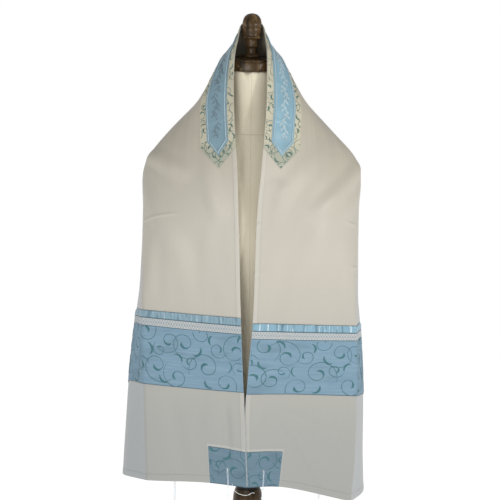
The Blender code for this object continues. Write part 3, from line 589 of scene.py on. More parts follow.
class DrapedCloth:
    # the whole cloth, from the left hem (-along) over the nape to the right hem: a fine grid in millimetres
    def __init__(self):
        steps = round(shawl["halfLength"] / shawl["masterGrid"])
        self.along = np.linspace(0.0, shawl["halfLength"], steps + 1)
        self.across = np.linspace(0.0, shawl["width"], round(shawl["width"] / shawl["masterGrid"]) + 1)
        left = drapedHalf(-1, self.along, self.across)
        right = drapedHalf(1, self.along, self.across)
        self.points = np.concatenate([left[:0:-1], right])
        self.along = np.concatenate([-self.along[:0:-1], self.along])
        self.normals = gridNormals(self.points)

    def place(self, along, across, height):
        # points in metres at flat places on the cloth, moved out from its middle by a height in mm
        along, across, height = np.broadcast_arrays(along, across, height)
        i, j = (
            np.clip((value - lines[0]) / (lines[1] - lines[0]), 0, len(lines) - 1.000001)
            for value, lines in ((along, self.along), (across, self.across))
        )
        row, column = i.astype(int), j.astype(int)
        a, b = (i - row)[..., None], (j - column)[..., None]

        def blend(grid):
            near = grid[row, column] * (1 - b) + grid[row, column + 1] * b
            far = grid[row + 1, column] * (1 - b) + grid[row + 1, column + 1] * b
            return near * (1 - a) + far * a

        return (blend(self.points) + blend(self.normals) * height[..., None]) * mm


cloth = DrapedCloth()
report("cloth surface worked out")


def linesBetween(low, high, step, extra=()):
    lines = np.linspace(low, high, max(1, round((high - low) / step)) + 1)
    for value in extra:
        if low < value < high:
            # a plain line too near an extra one gives way to it
            kept = (np.abs(lines - value) > step * 0.35) | (lines == low) | (lines == high)
            lines = np.append(lines[kept], value)
    return np.sort(lines)


def makePiece(name, points, faces, flat, finish, smoothAngle, hollow=None):
    # points in metres, faces as point numbers, flat coordinates of each point in metres
    mesh = bpy.data.meshes.new(name)
    rings = [tuple(map(int, face)) for face in faces]
    mesh.from_pydata([tuple(map(float, point)) for point in points], [], rings)
    layer = mesh.uv_layers.new(name="flat")
    owners = np.empty(len(mesh.loops), np.int32)
    mesh.loops.foreach_get("vertex_index", owners)
    layer.data.foreach_set("uv", np.asarray(flat, np.float32)[owners].reshape(-1))
    mesh.materials.append(finishes[finish])
    if hollow is not None:
        depths = mesh.attributes.new("hollow", "FLOAT", "POINT")
        depths.data.foreach_set("value", np.asarray(hollow, np.float32))
    mesh.shade_smooth()
    mesh.set_sharp_from_angle(angle=math.radians(smoothAngle))
    mesh.validate()
    return addObject(name, mesh)


def shellFaces(rows, columns, kept=None):
    # faces of a closed shell between an inner grid and an outer grid of points
    kept = np.ones((rows - 1, columns - 1), bool) if kept is None else kept
    lift = rows * columns
    i, j = np.nonzero(kept)
    first, beyond = i * columns + j, (i + 1) * columns + j
    quads = np.stack([first, beyond, beyond + 1, first + 1], axis=1)
    faces = [quads[:, ::-1], quads + lift]
    padded = np.zeros((rows + 1, columns + 1), bool)
    padded[1:-1, 1:-1] = kept
    for side, (a, b) in enumerate(((0, -1), (1, 0), (0, 1), (-1, 0))):
        edge = ~padded[i + 1 + a, j + 1 + b]
        start, end = quads[edge, side], quads[edge, (side + 1) % 4]
        faces.append(np.stack([start, end, end + lift, start + lift], axis=1))
    return np.concatenate(faces)


def shellPiece(name, finish, slot, node, spots, inner, outer, kept=None, smoothAngle=50.0, hollow=None):
    # a closed strip of cloth: two grids of flat places (along, across) and the heights of its two faces
    points = np.concatenate([cloth.place(*spots, height).reshape(-1, 3) for height in (inner, outer)])
    flat = np.stack(spots[::-1], axis=-1).reshape(-1, 2) * mm
    used, faces = np.unique(shellFaces(*spots[0].shape, kept), return_inverse=True)
    flat = np.concatenate([flat, flat])[used]
    if hollow is not None:
        hollow = np.concatenate([hollow.reshape(-1), hollow.reshape(-1)])[used]
    piece = makePiece(name, points[used], faces.reshape(-1, 4), flat, finish, smoothAngle, hollow)
    return dress(piece, slot, node)


def tubeFaces(count, sides):
    corner = np.arange(sides)
    following = (corner + 1) % sides
    start = sides * np.arange(count - 1)[:, None]
    walls = [start + corner, start + following, start + sides + following, start + sides + corner]
    caps = [range(sides - 1, -1, -1), range((count - 1) * sides, count * sides)]
    return [*map(tuple, np.stack(walls, axis=-1).reshape(-1, 4)), *map(tuple, caps)]


class Bundle:
    # several closed shapes gathered into one piece
    def __init__(self):
        self.points, self.faces, self.flat = [], [], []
        self.count = 0

    def add(self, points, faces, flat):
        for face in faces:
            if len(face) == 4:
                self.faces.append(tuple(self.count + corner for corner in face))
                continue
            # caps with more corners are fanned into triangles
            for corner in range(1, len(face) - 1):
                self.faces.append(tuple(self.count + face[k] for k in (0, corner, corner + 1)))
        self.points.append(points)
        self.flat.append(flat)
        self.count += len(points)

    def tube(self, route, radius, sides=6):
        # a round thread along a route in metres, with a radius in metres at each point
        route = np.asarray(route, float)
        radius = np.broadcast_to(radius, len(route))
        tangents = np.gradient(route, axis=0)
        tangents /= np.linalg.norm(tangents, axis=1, keepdims=True)
        sideways = np.cross(tangents[0], (0.0, 1.0, 0.0) if abs(tangents[0][1]) < 0.9 else (1.0, 0.0, 0.0))
        rings = []
        for centre, tangent, size in zip(route, tangents, radius):
            sideways = sideways - tangent * (sideways @ tangent)
            sideways = sideways / np.linalg.norm(sideways)
            other = np.cross(tangent, sideways)
            angles = (turn * np.arange(sides) / sides)[:, None]
            rings.append(centre + size * (np.cos(angles) * sideways + np.sin(angles) * other))
        steps = np.linalg.norm(np.diff(route, axis=0), axis=1)
        length = np.concatenate([[0.0], np.cumsum(steps)])
        flat = np.stack([np.tile(np.arange(sides) / sides, len(route)), np.repeat(length, sides)], axis=1)
        self.add(np.concatenate(rings), tubeFaces(len(route), sides), flat)

    def strip(self, along, across, width, base, height):
        # a low raised line on the cloth: flat places, width and heights in mm
        runAlong, runAcross = np.gradient(along), np.gradient(across)
        size = np.maximum(np.hypot(runAlong, runAcross), 1e-6)
        offAlong, offAcross = -runAcross / size * width / 2, runAlong / size * width / 2
        sections = [
            (along + offAlong, across + offAcross, base),
            (along, across, base + height),
            (along - offAlong, across - offAcross, base),
            (along, across, base - 0.12),
        ]
        points = np.stack([cloth.place(a, b, h) for a, b, h in sections], axis=1)
        flat = np.stack([np.stack([b, a], axis=-1) * mm for a, b, _ in sections], axis=1)
        faces = tubeFaces(len(along), 4)
        self.add(points.reshape(-1, 3), faces, flat.reshape(-1, 2))

    def build(self, name, finish, slot, *nodes):
        points, flat = np.concatenate(self.points), np.concatenate(self.flat)
        return dress(makePiece(name, points, self.faces, flat, finish, 60.0), slot, *nodes)


def dress(piece, slot, *nodes):
    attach(piece, "root")
    if nodes:
        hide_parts(*nodes)
    return piece


finishes = {
    "ivory": ivoryFinish(),
    "organzaBlue": organzaFinish("blue organza", (0.182, 0.290, 0.378), (0.242, 0.352, 0.436), 1.0),
    "organzaDeep": organzaFinish("deep blue organza", (0.140, 0.216, 0.276), (0.178, 0.264, 0.324), 1.0),
    # the last number sets the painted shade at the neckband's tips
    "organzaCream": organzaFinish("cream organza", (0.500, 0.480, 0.375), (0.570, 0.550, 0.445), 0.7, 0.6),
    "satin": satinFinish("blue satin", (0.216, 0.368, 0.456), (0.130, 0.225, 0.290), 0.0),
    "gatheredSatin": satinFinish("gathered blue satin", (0.200, 0.350, 0.445), (0.075, 0.140, 0.190), 1.0),
    "piping": threadFinish("pale piping", (0.45, 0.58, 0.64), 1.6),
    "rolled": threadFinish("rolled pale edge", (0.56, 0.59, 0.60), 2.6),
    # painted light: the tassel thread glows faintly
    "thread": threadFinish("white tassel thread", (0.95, 0.95, 0.94), 1.7, Subsurface_Weight=0.5,
                           Emission_Color=(0.9, 0.95, 1.0, 1.0), Emission_Strength=0.25),
    "rim": plainStitchFinish("dark blue cord", (0.095, 0.165, 0.205)),
    "lace": laceFinish(),
    "tealStitch": plainStitchFinish("teal embroidery", (0.050, 0.180, 0.210)),
    "greenStitch": plainStitchFinish("green embroidery", (0.100, 0.195, 0.170)),
    "silverStitch": plainStitchFinish("silver embroidery", (0.50, 0.64, 0.70), (0.190, 0.285, 0.340)),
    "canvas": canvasFinish(),
    "wood": woodFinish(),
}
report("finishes made")

# The cloth itself.
holes = {"fromEdge": (33.0, 38.0), "along": (882.0, 887.0)}
seams = {
    "gathered": (588.0, 601.2),
    "lace": (602.8, 617.2),
    "wide": (618.0, 728.0),
    "patch": 70.0,
    "patchTurn": 845.0,
    "neckband": (315.0, 70.0),
}


def holeCells(along, across):
    middleAlong = np.abs(0.5 * (along[:-1] + along[1:]))
    middleAcross = 0.5 * (across[:-1] + across[1:])
    fromEdge = np.minimum(middleAcross, shawl["width"] - middleAcross)
    nearEnd = (middleAlong > holes["along"][0]) & (middleAlong < holes["along"][1])
    nearEdge = (fromEdge > holes["fromEdge"][0]) & (fromEdge < holes["fromEdge"][1])
    return nearEnd[:, None] & nearEdge[None, :]


def underTrim(along, across):
    # 1 where a band, patch or the neckband lies on the cloth
    reach = np.abs(along)
    covered = (reach > seams["gathered"][0] - 1) & (reach < seams["wide"][1] + 1)
    nearEdge = np.minimum(across, shawl["width"] - across) < seams["patch"] + 1
    covered |= (reach > seams["patchTurn"] - 1) & nearEdge
    covered |= (reach < seams["neckband"][0] + 1) & (across < seams["neckband"][1] + 1)
    return covered


def linesAtPresses():
    # extra grid lines between the plain ones, where the pressed lines that show most run
    grid = shawl["grid"]
    steps = grid * np.array((-1.5, -1.0, -0.5, 0.0, 0.5))
    near = [row[1] + step for row in pressedLines[:pressedSharply] for step in steps]
    return [place for place in np.unique(np.round(near)) if abs(place % grid - grid / 2) < pressedReach]


def makeCloth():
    half, hem, turned = shawl["halfLength"], shawl["endHem"], shawl["hemStep"]
    ends = (*holes["along"], half - hem, half - hem - turned, half - 1.0)
    along = linesBetween(0.0, half, shawl["grid"], ends)
    along = np.unique(np.concatenate([along, linesAtPresses()]))
    along = np.concatenate([-along[:0:-1], along])
    width, side = shawl["width"], shawl["sideHem"]
    edges = (1.0, side, side + turned, width - side - turned, width - side, width - 1.0, shoulder[1])
    farHoles = (width - value for value in holes["fromEdge"])
    across = linesBetween(0.0, width, shawl["grid"], (*holes["fromEdge"], *farHoles, *edges))
    spots = alongGrid, acrossGrid = gridsOf(along, across)
    fromSide = np.minimum(acrossGrid, width - acrossGrid)
    fromEnd = half - np.abs(alongGrid)
    # a turned hem is thicker, and puckers a little at its stitching
    single = np.minimum(smoothStep(fromSide, side, side + turned), smoothStep(fromEnd, hem, hem + turned))
    hemmed = 1.0 - single
    rounded = np.minimum(np.minimum(fromSide, fromEnd), 1.0)
    bare = ~underTrim(alongGrid, acrossGrid)
    outer = shawl["halfThickness"] * (0.45 + 0.55 * rounded) + shawl["hemThickness"] * hemmed * bare
    puckers = 0.16 * hemmed * np.sin(alongGrid / 2.9 + 2.0 * np.sin(acrossGrid / 9.0)) * (fromEnd > hem)
    for handed in (-1, 1):
        pressed = creaseHeights(pressedLines, handed, np.abs(alongGrid), acrossGrid)
        outer = outer + np.where(alongGrid * handed > 0, pressed, 0.0)
    inner = -shawl["halfThickness"] * (0.45 + 0.55 * rounded) - 0.3 * hemmed
    outer = outer + puckers * bare
    return shellPiece(
        "shawl_cloth", "ivory", "ivory_cloth", "tallit_cloth", spots, inner, outer, ~holeCells(along, across)
    )


shawlCloth = makeCloth()
report("shawl cloth draped")

# What is sewn on it.
# Heights over the middle of the cloth: a first layer's two faces, a second layer's, and the prints.
trim = {
    "under": 0.72, "over": 1.32, "secondUnder": 1.45, "secondOver": 2.05,
    "bandPrint": 1.74, "patchPrint": 1.42, "neckPrint": 1.4,
}
hands = ((-1, "left"), (1, "right"))
corners = {
    "front": {"across": (0.0, seams["patch"]), "hole": holes["fromEdge"]},
    "back": {
        "across": (shawl["width"] - seams["patch"], shawl["width"]),
        "hole": tuple(shawl["width"] - value for value in reversed(holes["fromEdge"])),
    },
}


def bandLines(side, span, acrossSpan, step, extraAlong=(), extraAcross=()):
    low, high = sorted(side * value for value in span)
    along = linesBetween(low, high, step, tuple(side * value for value in extraAlong))
    return along, linesBetween(*acrossSpan, step, extraAcross)


def evenGrids(side, span, rows, columns):
    low, high = sorted(side * value for value in span)
    return gridsOf(np.linspace(low, high, rows), np.linspace(0.0, shawl["width"], columns))


wideBand = {"grid": 4.0, "edgeDip": 0.25, "edgeReach": 3.0, "puff": 0.35, "puffReach": 14.0}


def makeWideBand(side, word):
    lines = bandLines(side, seams["wide"], (0.0, shawl["width"]), wideBand["grid"])
    spots = along, across = gridsOf(*lines)
    reach = np.abs(along)
    fromEdge = np.minimum(reach - seams["wide"][0], seams["wide"][1] - reach)
    waves = 1.0 + 0.6 * np.sin(across / 17.0) * np.sin(along / 29.0)
    over = trim["over"] - wideBand["edgeDip"] * (1.0 - smoothStep(fromEdge, 0.0, wideBand["edgeReach"]))
    over = over + wideBand["puff"] * smoothStep(fromEdge, 0.0, wideBand["puffReach"]) * waves
    return shellPiece(
        "band_" + word, "organzaBlue", "blue_organza", "wide_band_" + word, spots, trim["under"], over
    )


patch = {"grid": 2.5, "edgeDip": 0.3, "edgeReach": 2.5, "seamDip": 0.22, "seamAt": 3.0, "seamReach": 1.6}


def makePatch(side, word, corner):
    span, acrossSpan = (seams["patchTurn"], shawl["halfLength"]), corners[corner]["across"]
    lines = bandLines(side, span, acrossSpan, patch["grid"], holes["along"], corners[corner]["hole"])
    spots = along, across = gridsOf(*lines)
    fromEdge = np.minimum.reduce([
        np.abs(along) - span[0], span[1] - np.abs(along),
        across - acrossSpan[0], acrossSpan[1] - across,
    ])
    over = trim["over"] - patch["edgeDip"] * (1.0 - smoothStep(fromEdge, 0.0, patch["edgeReach"]))
    over = over - patch["seamDip"] * ridge(fromEdge - patch["seamAt"], patch["seamReach"])
    return shellPiece(
        f"patch_{corner}_{word}", "organzaDeep", "blue_organza", f"corner_square_{corner}_{word}",
        spots, trim["under"], over, ~holeCells(*lines),
    )


gathering = {
    "seed": 11, "rows": 17, "columns": 849,
    # folds: how many, where the first begins, width, height, how far they lean, the shade between them
    "folds": 80, "first": -9.0, "wide": (5.0, 19.0), "height": (0.7, 1.5), "lean": 3.0, "shade": (0.15, 1.0),
    "base": 0.2, "tallest": 2.1, "crease": 0.4,
}


def makeGatheredRibbon(side, word):
    # upright folds of uneven width and height, stitched down along both edges
    span, count = seams["gathered"], gathering["folds"]
    spots = along, across = evenGrids(side, span, gathering["rows"], gathering["columns"])
    part = (np.abs(along) - span[0]) / (span[1] - span[0])
    chance = np.random.default_rng(gathering["seed"] + side)
    steps = chance.uniform(*gathering["wide"], count)
    edges = np.concatenate([[gathering["first"]], gathering["first"] + np.cumsum(steps)])
    tall = chance.uniform(*gathering["height"], count + 1)
    leans = chance.uniform(-1.0, 1.0, count + 1) * gathering["lean"]
    rough = np.searchsorted(edges, across) - 1
    place = across + leans[rough] * (part - 0.5)
    fold = np.clip(np.searchsorted(edges, place) - 1, 0, count - 1)
    within = np.clip((place - edges[fold]) / (edges[fold + 1] - edges[fold]), 0.0, 1.0)
    puff = np.sin(math.pi * within ** (1.0 + 0.35 * np.sin(fold * 2.4))) ** 0.75
    crown = np.sin(math.pi * np.clip(part, 0.0, 1.0)) ** 0.45
    fine = gathering["crease"] * np.sin(within * math.pi * (3.0 + fold % 3)) * np.sin(math.pi * within)
    heights = gathering["base"] + (tall[fold] * puff + fine) * (0.15 + 0.85 * crown)
    over = trim["over"] - 0.2 + np.clip(heights, 0.0, gathering["tallest"])
    # painted shade: each dip between folds gets its own random darkness, carried by the hollow attribute
    depth = chance.uniform(*gathering["shade"], count + 2)[fold + (within > 0.5)]
    hollow = depth * (1.0 - np.clip(puff * (0.45 + 0.55 * crown) + 0.4 * fine, 0.0, 1.0))
    return shellPiece(
        "ruched_ribbon_" + word, "gatheredSatin", "blue_satin", "gathered_ribbon_" + word,
        spots, trim["under"], over, hollow=hollow,
    )


braid = {
    "rows": 27, "columns": 847, "floor": 0.35, "height": 0.85,
    "cord": 1.2, "cordWidth": 1.3, "ply": 2.2, "loop": 5.0, "inset": 3.2, "loopWidth": 2.1,
}


def makeBraid(side, word):
    # two corded edges with a row of small loops between them
    span = seams["lace"]
    spots = along, across = evenGrids(side, span, braid["rows"], braid["columns"])
    fromTop = np.abs(along) - span[0]
    width = span[1] - span[0]
    edge = np.minimum(fromTop, width - fromTop)
    plies = 0.75 + 0.25 * np.sin(across * turn / braid["ply"])
    reach = (width / 2 - braid["inset"]) * np.sin(across * turn / (2 * braid["loop"]))
    loops = [ridge(fromTop - width / 2 - bend, braid["loopWidth"]) for bend in (reach, -reach)]
    raised = np.maximum(ridge(edge - braid["cord"], braid["cordWidth"]) * plies, np.maximum(*loops) * 0.95)
    over = trim["under"] + braid["floor"] + braid["height"] * raised
    # the hollow attribute sets the painted shade between the cords
    return shellPiece(
        "braid_" + word, "lace", "white_lace", "lace_braid_" + word,
        spots, trim["under"], over, smoothAngle=80.0, hollow=1.0 - raised,
    )


neckband = {
    "middle": 35.5,
    "ground": (277.0, seams["neckband"][0]),
    "groundAcross": (0.0, seams["neckband"][1]),
    "ribbon": (265.0, 291.0),
    "ribbonAcross": (14.0, 56.0),
    # where a small wrinkle crosses the ribbon, its slant and its height
    "wrinkles": ((158.0, 0.35, 0.9), (171.0, -0.25, 0.7), (228.0, 0.2, 0.5)),
    "wrinkleReach": 4.5,
    "grids": (3.0, 2.5),
    "tipKeeps": 0.02,
}


def narrowed(along, across, ends, least=0.0):
    # a place across a strip whose two ends narrow to a point
    begin, tip = ends
    keep = np.clip(1.0 - (np.abs(along) - begin) / (tip - begin), least, 1.0)
    return neckband["middle"] + (across - neckband["middle"]) * keep


def pointedGrids(ends, acrossSpan, step):
    begin, tip = ends
    along = linesBetween(-tip, tip, step, (-begin, begin))
    across = linesBetween(*acrossSpan, step, (neckband["middle"],))
    along, across = gridsOf(along, across)
    return along, narrowed(along, across, ends, neckband["tipKeeps"])


def makeNeckband():
    spots = along, across = pointedGrids(neckband["ground"], neckband["groundAcross"], neckband["grids"][0])
    wrinkles = 0.11 * np.sin(along / 5.3 + 1.4 * np.sin(across / 11.0)) * np.sin(along / 31.0)
    ground = shellPiece(
        "neckband_organza", "organzaCream", "cream_organza", "neckband_ground",
        spots, trim["under"], trim["over"] - 0.1 + wrinkles,
    )
    spots = along, across = pointedGrids(neckband["ribbon"], neckband["ribbonAcross"], neckband["grids"][1])
    fromEdge = np.minimum(across - neckband["ribbonAcross"][0], neckband["ribbonAcross"][1] - across)
    over = trim["secondOver"] + 0.25 * smoothStep(fromEdge, 0.0, 5.0)
    over = over + 0.3 * np.sin(along / 9.0 + 2.0 * np.sin(along / 41.0)) * smoothStep(fromEdge, 1.0, 12.0)
    for place, slant, height in neckband["wrinkles"]:
        fromLine = np.abs(along) - place - slant * (across - neckband["middle"])
        over = over + height * ridge(fromLine, neckband["wrinkleReach"]) * smoothStep(fromEdge, 2.0, 6.0)
    ribbon = shellPiece(
        "neckband_satin", "satin", "blue_satin", "neckband_ribbon", spots, trim["secondUnder"], over
    )
    return [ground, ribbon]


piping = {"inset": 3.4, "radius": 0.85, "height": 2.75, "step": 2.0}


def makePiping():
    bundle = Bundle()
    begin, tip = neckband["ribbon"][0] - piping["step"], neckband["ribbon"][1] - 1.5 * piping["inset"]
    along = np.arange(-begin, begin + 0.1, piping["step"])
    end = np.linspace(0.0, 1.0, 12)[1:]
    toTip = begin + (tip - begin) * end
    routeAlong = np.concatenate([-toTip[::-1], along, toTip])
    for edge, inward in zip(neckband["ribbonAcross"], (1, -1)):
        edge = edge + inward * piping["inset"]
        acrossTip = edge + (neckband["middle"] - edge) * end
        routeAcross = np.concatenate([acrossTip[::-1], np.full(len(along), edge), acrossTip])
        bundle.tube(cloth.place(routeAlong, routeAcross, piping["height"]), piping["radius"] * mm)
    return bundle.build("neckband_piping", "piping", "white_thread")


# Embroidery: scrolls that curl into a thick hook, and a leafy vine on the neck ribbon.
scrollPrint = {
    "repeat": 150.0, "depth": 110.0, "thin": 1.05, "thick": 4.9, "hookEnd": 0.5, "height": 0.30,
    "points": 46, "eye": 6.0, "clear": 1.2,
}
# Curls in one repeat of the print: middle (across, down), first radius, angle it starts at, turns (signed).
curls = (
    (26, 36, 38, 206, 1.45), (82, 70, 36, 25, -1.4), (122, 28, 33, 140, -1.45), (138, 92, 31, 300, 1.35),
    (48, 98, 28, 95, 1.3), (2, 84, 27, 330, -1.3), (88, 8, 25, 250, 1.25), (60, 34, 19, 170, -1.15),
    (112, 62, 17, 20, 1.15), (20, 66, 15, 60, -1.1),
)
# Short thick hooks where curls meet: middle, radius at its two ends, angle it starts at, turns (signed).
hooks = (
    (46, 62, 15, 9, 100, 0.36), (104, 40, 14, 8, 210, -0.38), (74, 100, 13, 8, 330, 0.36),
    (8, 14, 14, 8, 20, -0.36), (140, 58, 13, 7, 150, 0.4), (66, 16, 12, 7, 60, -0.36),
)


def curlLine(across, down, radius, end, start, turns):
    # a spiral that tightens evenly from its first radius to its last
    part = np.linspace(0.0, 1.0, max(10, round(scrollPrint["points"] * abs(turns))))
    angle = math.radians(start) + turn * turns * part
    reach = radius * (end / radius) ** part
    return across + reach * np.cos(angle), down + reach * np.sin(angle), part


def printLines():
    # every line of one repeat: flat places and widths
    thin, thick, hookEnd = scrollPrint["thin"], scrollPrint["thick"], scrollPrint["hookEnd"]
    lines = []
    for across, down, radius, start, turns in curls:
        x, y, part = curlLine(across, down, radius, min(scrollPrint["eye"], radius * 0.3), start, turns)
        swell = smoothStep(part, 0.66, 0.86) * (1.0 - smoothStep(part, 0.88, 1.0))
        size = 0.6 + 0.4 * smoothStep(radius, 14.0, 34.0)
        taper = (0.35 + 0.65 * smoothStep(part, 0.0, 0.1)) * (1.0 - 0.6 * smoothStep(part, 0.94, 1.0))
        lines.append((x, y, thin * taper + (thick * size - thin) * swell))
    for across, down, radius, end, start, turns in hooks:
        x, y, part = curlLine(across, down, radius, end, start, turns)
        lines.append((x, y, hookEnd + (thick * 0.85 - hookEnd) * np.sin(math.pi * part**0.8)))
    return lines


def insideRuns(inside):
    # index ranges where a line stays inside for four points or more
    ends = np.flatnonzero(np.diff(np.concatenate([[0], np.asarray(inside, int), [0]])))
    return [slice(start, end) for start, end in zip(ends[::2], ends[1::2]) if end - start >= 4]


def embroider(bundle, side, region, acrossShift, downShift, base, size=1.0):
    # repeats the print over a region of the cloth, cutting each line at the region's edge
    repeat, height = scrollPrint["repeat"], scrollPrint["height"]
    for count in range(-2, math.ceil(shawl["width"] / repeat / size) + 2):
        for x, y, width in printLines():
            across = (x + count * repeat) * size + acrossShift
            along = (scrollPrint["depth"] - y if count % 2 else y) * size + downShift
            for run in insideRuns(region(along, across)):
                bundle.strip(side * along[run], across[run], width[run] * size**0.5, base, height)


def edgeInset(value, low, high, inset=scrollPrint["clear"]):
    return (value > low + inset) & (value < high - inset)


# Where each side's print begins: across and down on the band, across and down on the patches.
shifts = {-1: (-14.0, 616.0, -62.0, 816.0), 1: (37.0, 616.0, 12.0, 829.0)}
backShift = 31.0
eyelet = {"ring": 2.7, "wire": 1.15, "height": 0.55, "clear": 5.5}


def makeBandScrolls(side, word):
    bundle = Bundle()
    bandAcross, bandDown, patchAcross, patchDown = shifts[side]
    middle, holeAlong = 0.5 * sum(holes["fromEdge"]), 0.5 * sum(holes["along"])

    def onBand(along, across):
        return edgeInset(along, *seams["wide"]) & edgeInset(across, 0.0, shawl["width"])

    embroider(bundle, side, onBand, bandAcross, bandDown, trim["bandPrint"])
    for corner in corners:

        def onPatch(along, across):
            fromEdge = np.minimum(across, shawl["width"] - across)
            inside = edgeInset(along, seams["patchTurn"], shawl["halfLength"])
            inside &= edgeInset(across, *corners[corner]["across"])
            return inside & ~(np.hypot(along - holeAlong, fromEdge - middle) < eyelet["clear"])

        shift = patchAcross + (0.0 if corner == "front" else backShift)
        embroider(bundle, side, onPatch, shift, patchDown, trim["patchPrint"])
    return bundle.build("teal_scrolls_" + word, "tealStitch", "blue_organza")


neckScrolls = {
    "rows": (-6.0, 44.0, 94.0, 144.0, 192.0, 232.0, 268.0),
    "shift": {-1: -20.0, 1: -64.0},
    "slant": 0.37,
    "size": 0.56,
    "fromRibbon": 1.0,
    "fromEnds": 2.0,
}


def makeNeckScrolls():
    bundle = Bundle()
    ground, ribbon, margin = neckband["ground"], neckband["ribbon"], neckScrolls["fromRibbon"]
    low, high = neckband["ribbonAcross"]

    def onGround(along, across):
        edges = [narrowed(along, edge, ground) for edge in neckband["groundAcross"]]
        inside = edgeInset(across, *edges) & edgeInset(along, 0.0, ground[1], neckScrolls["fromEnds"])
        below, above = (narrowed(along, edge, ribbon) for edge in (low - margin, high + margin))
        return inside & ~((across > below) & (across < above) & (along < ribbon[1] + margin))

    for side, shift in neckScrolls["shift"].items():
        for down in neckScrolls["rows"]:
            across = shift + down * neckScrolls["slant"]
            embroider(bundle, side, onGround, across, down, trim["neckPrint"], neckScrolls["size"])
    return bundle.build("green_scrolls", "greenStitch", "cream_organza")


vine = {
    "from": 6.0, "to": 262.0, "sway": 3.4, "wave": 34.0, "base": 2.5, "step": 1.5, "stem": (1.8, 0.42),
    "leafEvery": 4.6, "leafLength": 9.5, "leafWidth": 3.0,
}


def makeVine():
    # a running vine with overlapping leaves on both sides of its stem
    bundle = Bundle()
    stem, length = vine["stem"], vine["leafLength"]
    part = np.linspace(0.0, 1.0, 9)
    width = 0.25 + vine["leafWidth"] * np.sin(math.pi * part**0.85) ** 0.8
    for side in (-1, 1):
        along = np.arange(vine["from"], vine["to"], vine["step"])
        across = neckband["middle"] + vine["sway"] * np.sin(along * turn / vine["wave"])
        bundle.strip(side * along, across, np.full(len(along), stem[0]), vine["base"], stem[1])
        for index, start in enumerate(np.arange(vine["from"] + 2.0, vine["to"] - 8.0, vine["leafEvery"])):
            rise = neckband["middle"] + vine["sway"] * math.sin(start * turn / vine["wave"])
            lean = 1 if index % 2 else -1
            leafAcross = rise + lean * (0.3 + length * 0.86 * part - 2.4 * part * part)
            height = 0.5 + 0.06 * (index % 3)
            bundle.strip(side * (start + length * part * 0.80), leafAcross, width, vine["base"], height)
    return bundle.build("leaf_vine", "silverStitch", "white_thread")


edging = {"inset": 0.8, "step": 2.0}
rolledEdge = {"height": 0.7, "radius": 0.5, "step": 2.5}


def makeEdgeLines():
    # thin dark cords along the edges of the bands and patches, and in the seams between them
    bundle = Bundle()
    wide, gathered, lace = seams["wide"], seams["gathered"], seams["lace"]
    whole = (edging["inset"], shawl["width"] - edging["inset"])
    # along, from and to across, height, radius
    rows = [
        (gathered[0] - 0.3, *whole, 1.0, 0.6), (0.5 * (gathered[1] + lace[0]), *whole, 1.25, 0.9),
        (0.5 * (lace[1] + wide[0]), *whole, 1.25, 0.6), (wide[1] - 0.2, *whole, 1.25, 0.6),
    ]
    for first, last in ((whole[0], seams["patch"]), (whole[1] - seams["patch"], whole[1])):
        rows.append((seams["patchTurn"] + 0.5, first, last, 1.2, 0.5))
        rows.append((shawl["halfLength"] - 0.8, first, last, 1.2, 0.5))
    for side in (-1, 1):
        for along, first, last, height, radius in rows:
            places = np.arange(first, last, edging["step"])
            bundle.tube(cloth.place(np.full(len(places), side * along), places, height), radius * mm, 5)
    return bundle.build("dark_edging", "rim", "blue_organza")


def makeRolledEdges():
    # a narrow bead down the front edges; its colour, paler than the cloth, is painted highlight
    bundle = Bundle()
    for side in (-1, 1):
        along = np.arange(seams["wide"][1], shawl["halfLength"], rolledEdge["step"])
        bundle.tube(cloth.place(side * along, 0.0, rolledEdge["height"]), rolledEdge["radius"] * mm)
    return bundle.build("rolled_front_edges", "rolled", "ivory_cloth")


sewnOn = []
for side, word in hands:
    sewnOn += [make(side, word) for make in (makeWideBand, makeGatheredRibbon, makeBraid)]
    sewnOn += [makePatch(side, word, corner) for corner in corners]
    sewnOn.append(makeBandScrolls(side, word))
sewnOn += makeNeckband()
sewnOn += [make() for make in (makePiping, makeNeckScrolls, makeVine, makeEdgeLines, makeRolledEdges)]
report("bands, patches, neckband and embroidery sewn on")

# Tassels. Lengths run down from the hem, strands and wires are radii.
tassel = {
    "strands": 8,
    "strand": 0.72,
    "strandLength": 190.0,
    # how far strands stand out: at the root, and how much more below
    "strandReach": (1.45, 7.5),
    "root": 59.5,
    "loopThreads": (-0.85, 0.85),
    "loop": 0.36,
    "core": {"from": 4.0, "to": 61.0, "radius": 1.35},
    # where windings and knots begin and end, and their coils: radius, pitch and wire
    "windings": ((10.2, 21.4), (25.8, 38.4), (42.8, 56.4)),
    "winding": (1.75, 1.35, 0.64),
    "knots": ((6.5, 9.5), (22.0, 25.0), (39.0, 42.0), (57.0, 60.0)),
    "knotOuter": (2.35, 1.5, 0.78),
    "knotInner": (2.1, -2.4, 0.7),
    # heights of the loop over the cloth's two faces
    "outer": 2.4,
    "inner": -1.5,
}


def loopRoute(side, across):
    # up the outer face from below the hem, through the hole and down the inner face: along, height, drop
    hem, hole = shawl["halfLength"], 0.5 * sum(holes["along"])
    outer, inner = tassel["outer"], tassel["inner"]
    rows = (
        (hem, outer * 0.5, 5.5), (hem, outer * 0.9, 1.6), (hem - 2.0, outer, 0.0), (hem - 14.0, outer, 0.0),
        (hole + 2.6, outer, 0.0), (hole, outer * 0.55, 0.0), (hole - 0.2, 0.0, 0.0), (hole, inner * 0.7, 0.0),
        (hole + 3.0, inner, 0.0), (hem - 12.0, inner, 0.0), (hem - 1.0, inner, 0.0), (hem, inner * 0.7, 2.0),
        (hem, inner * 0.3, 5.2),
    )
    upward = cloth.place(side * hole, across, 0.0) - cloth.place(side * hem, across, 0.0)
    upward = upward / np.linalg.norm(upward)
    points = [cloth.place(side * along, across, height) - upward * drop * mm for along, height, drop in rows]
    return smoothRoute(np.array(points), 60)


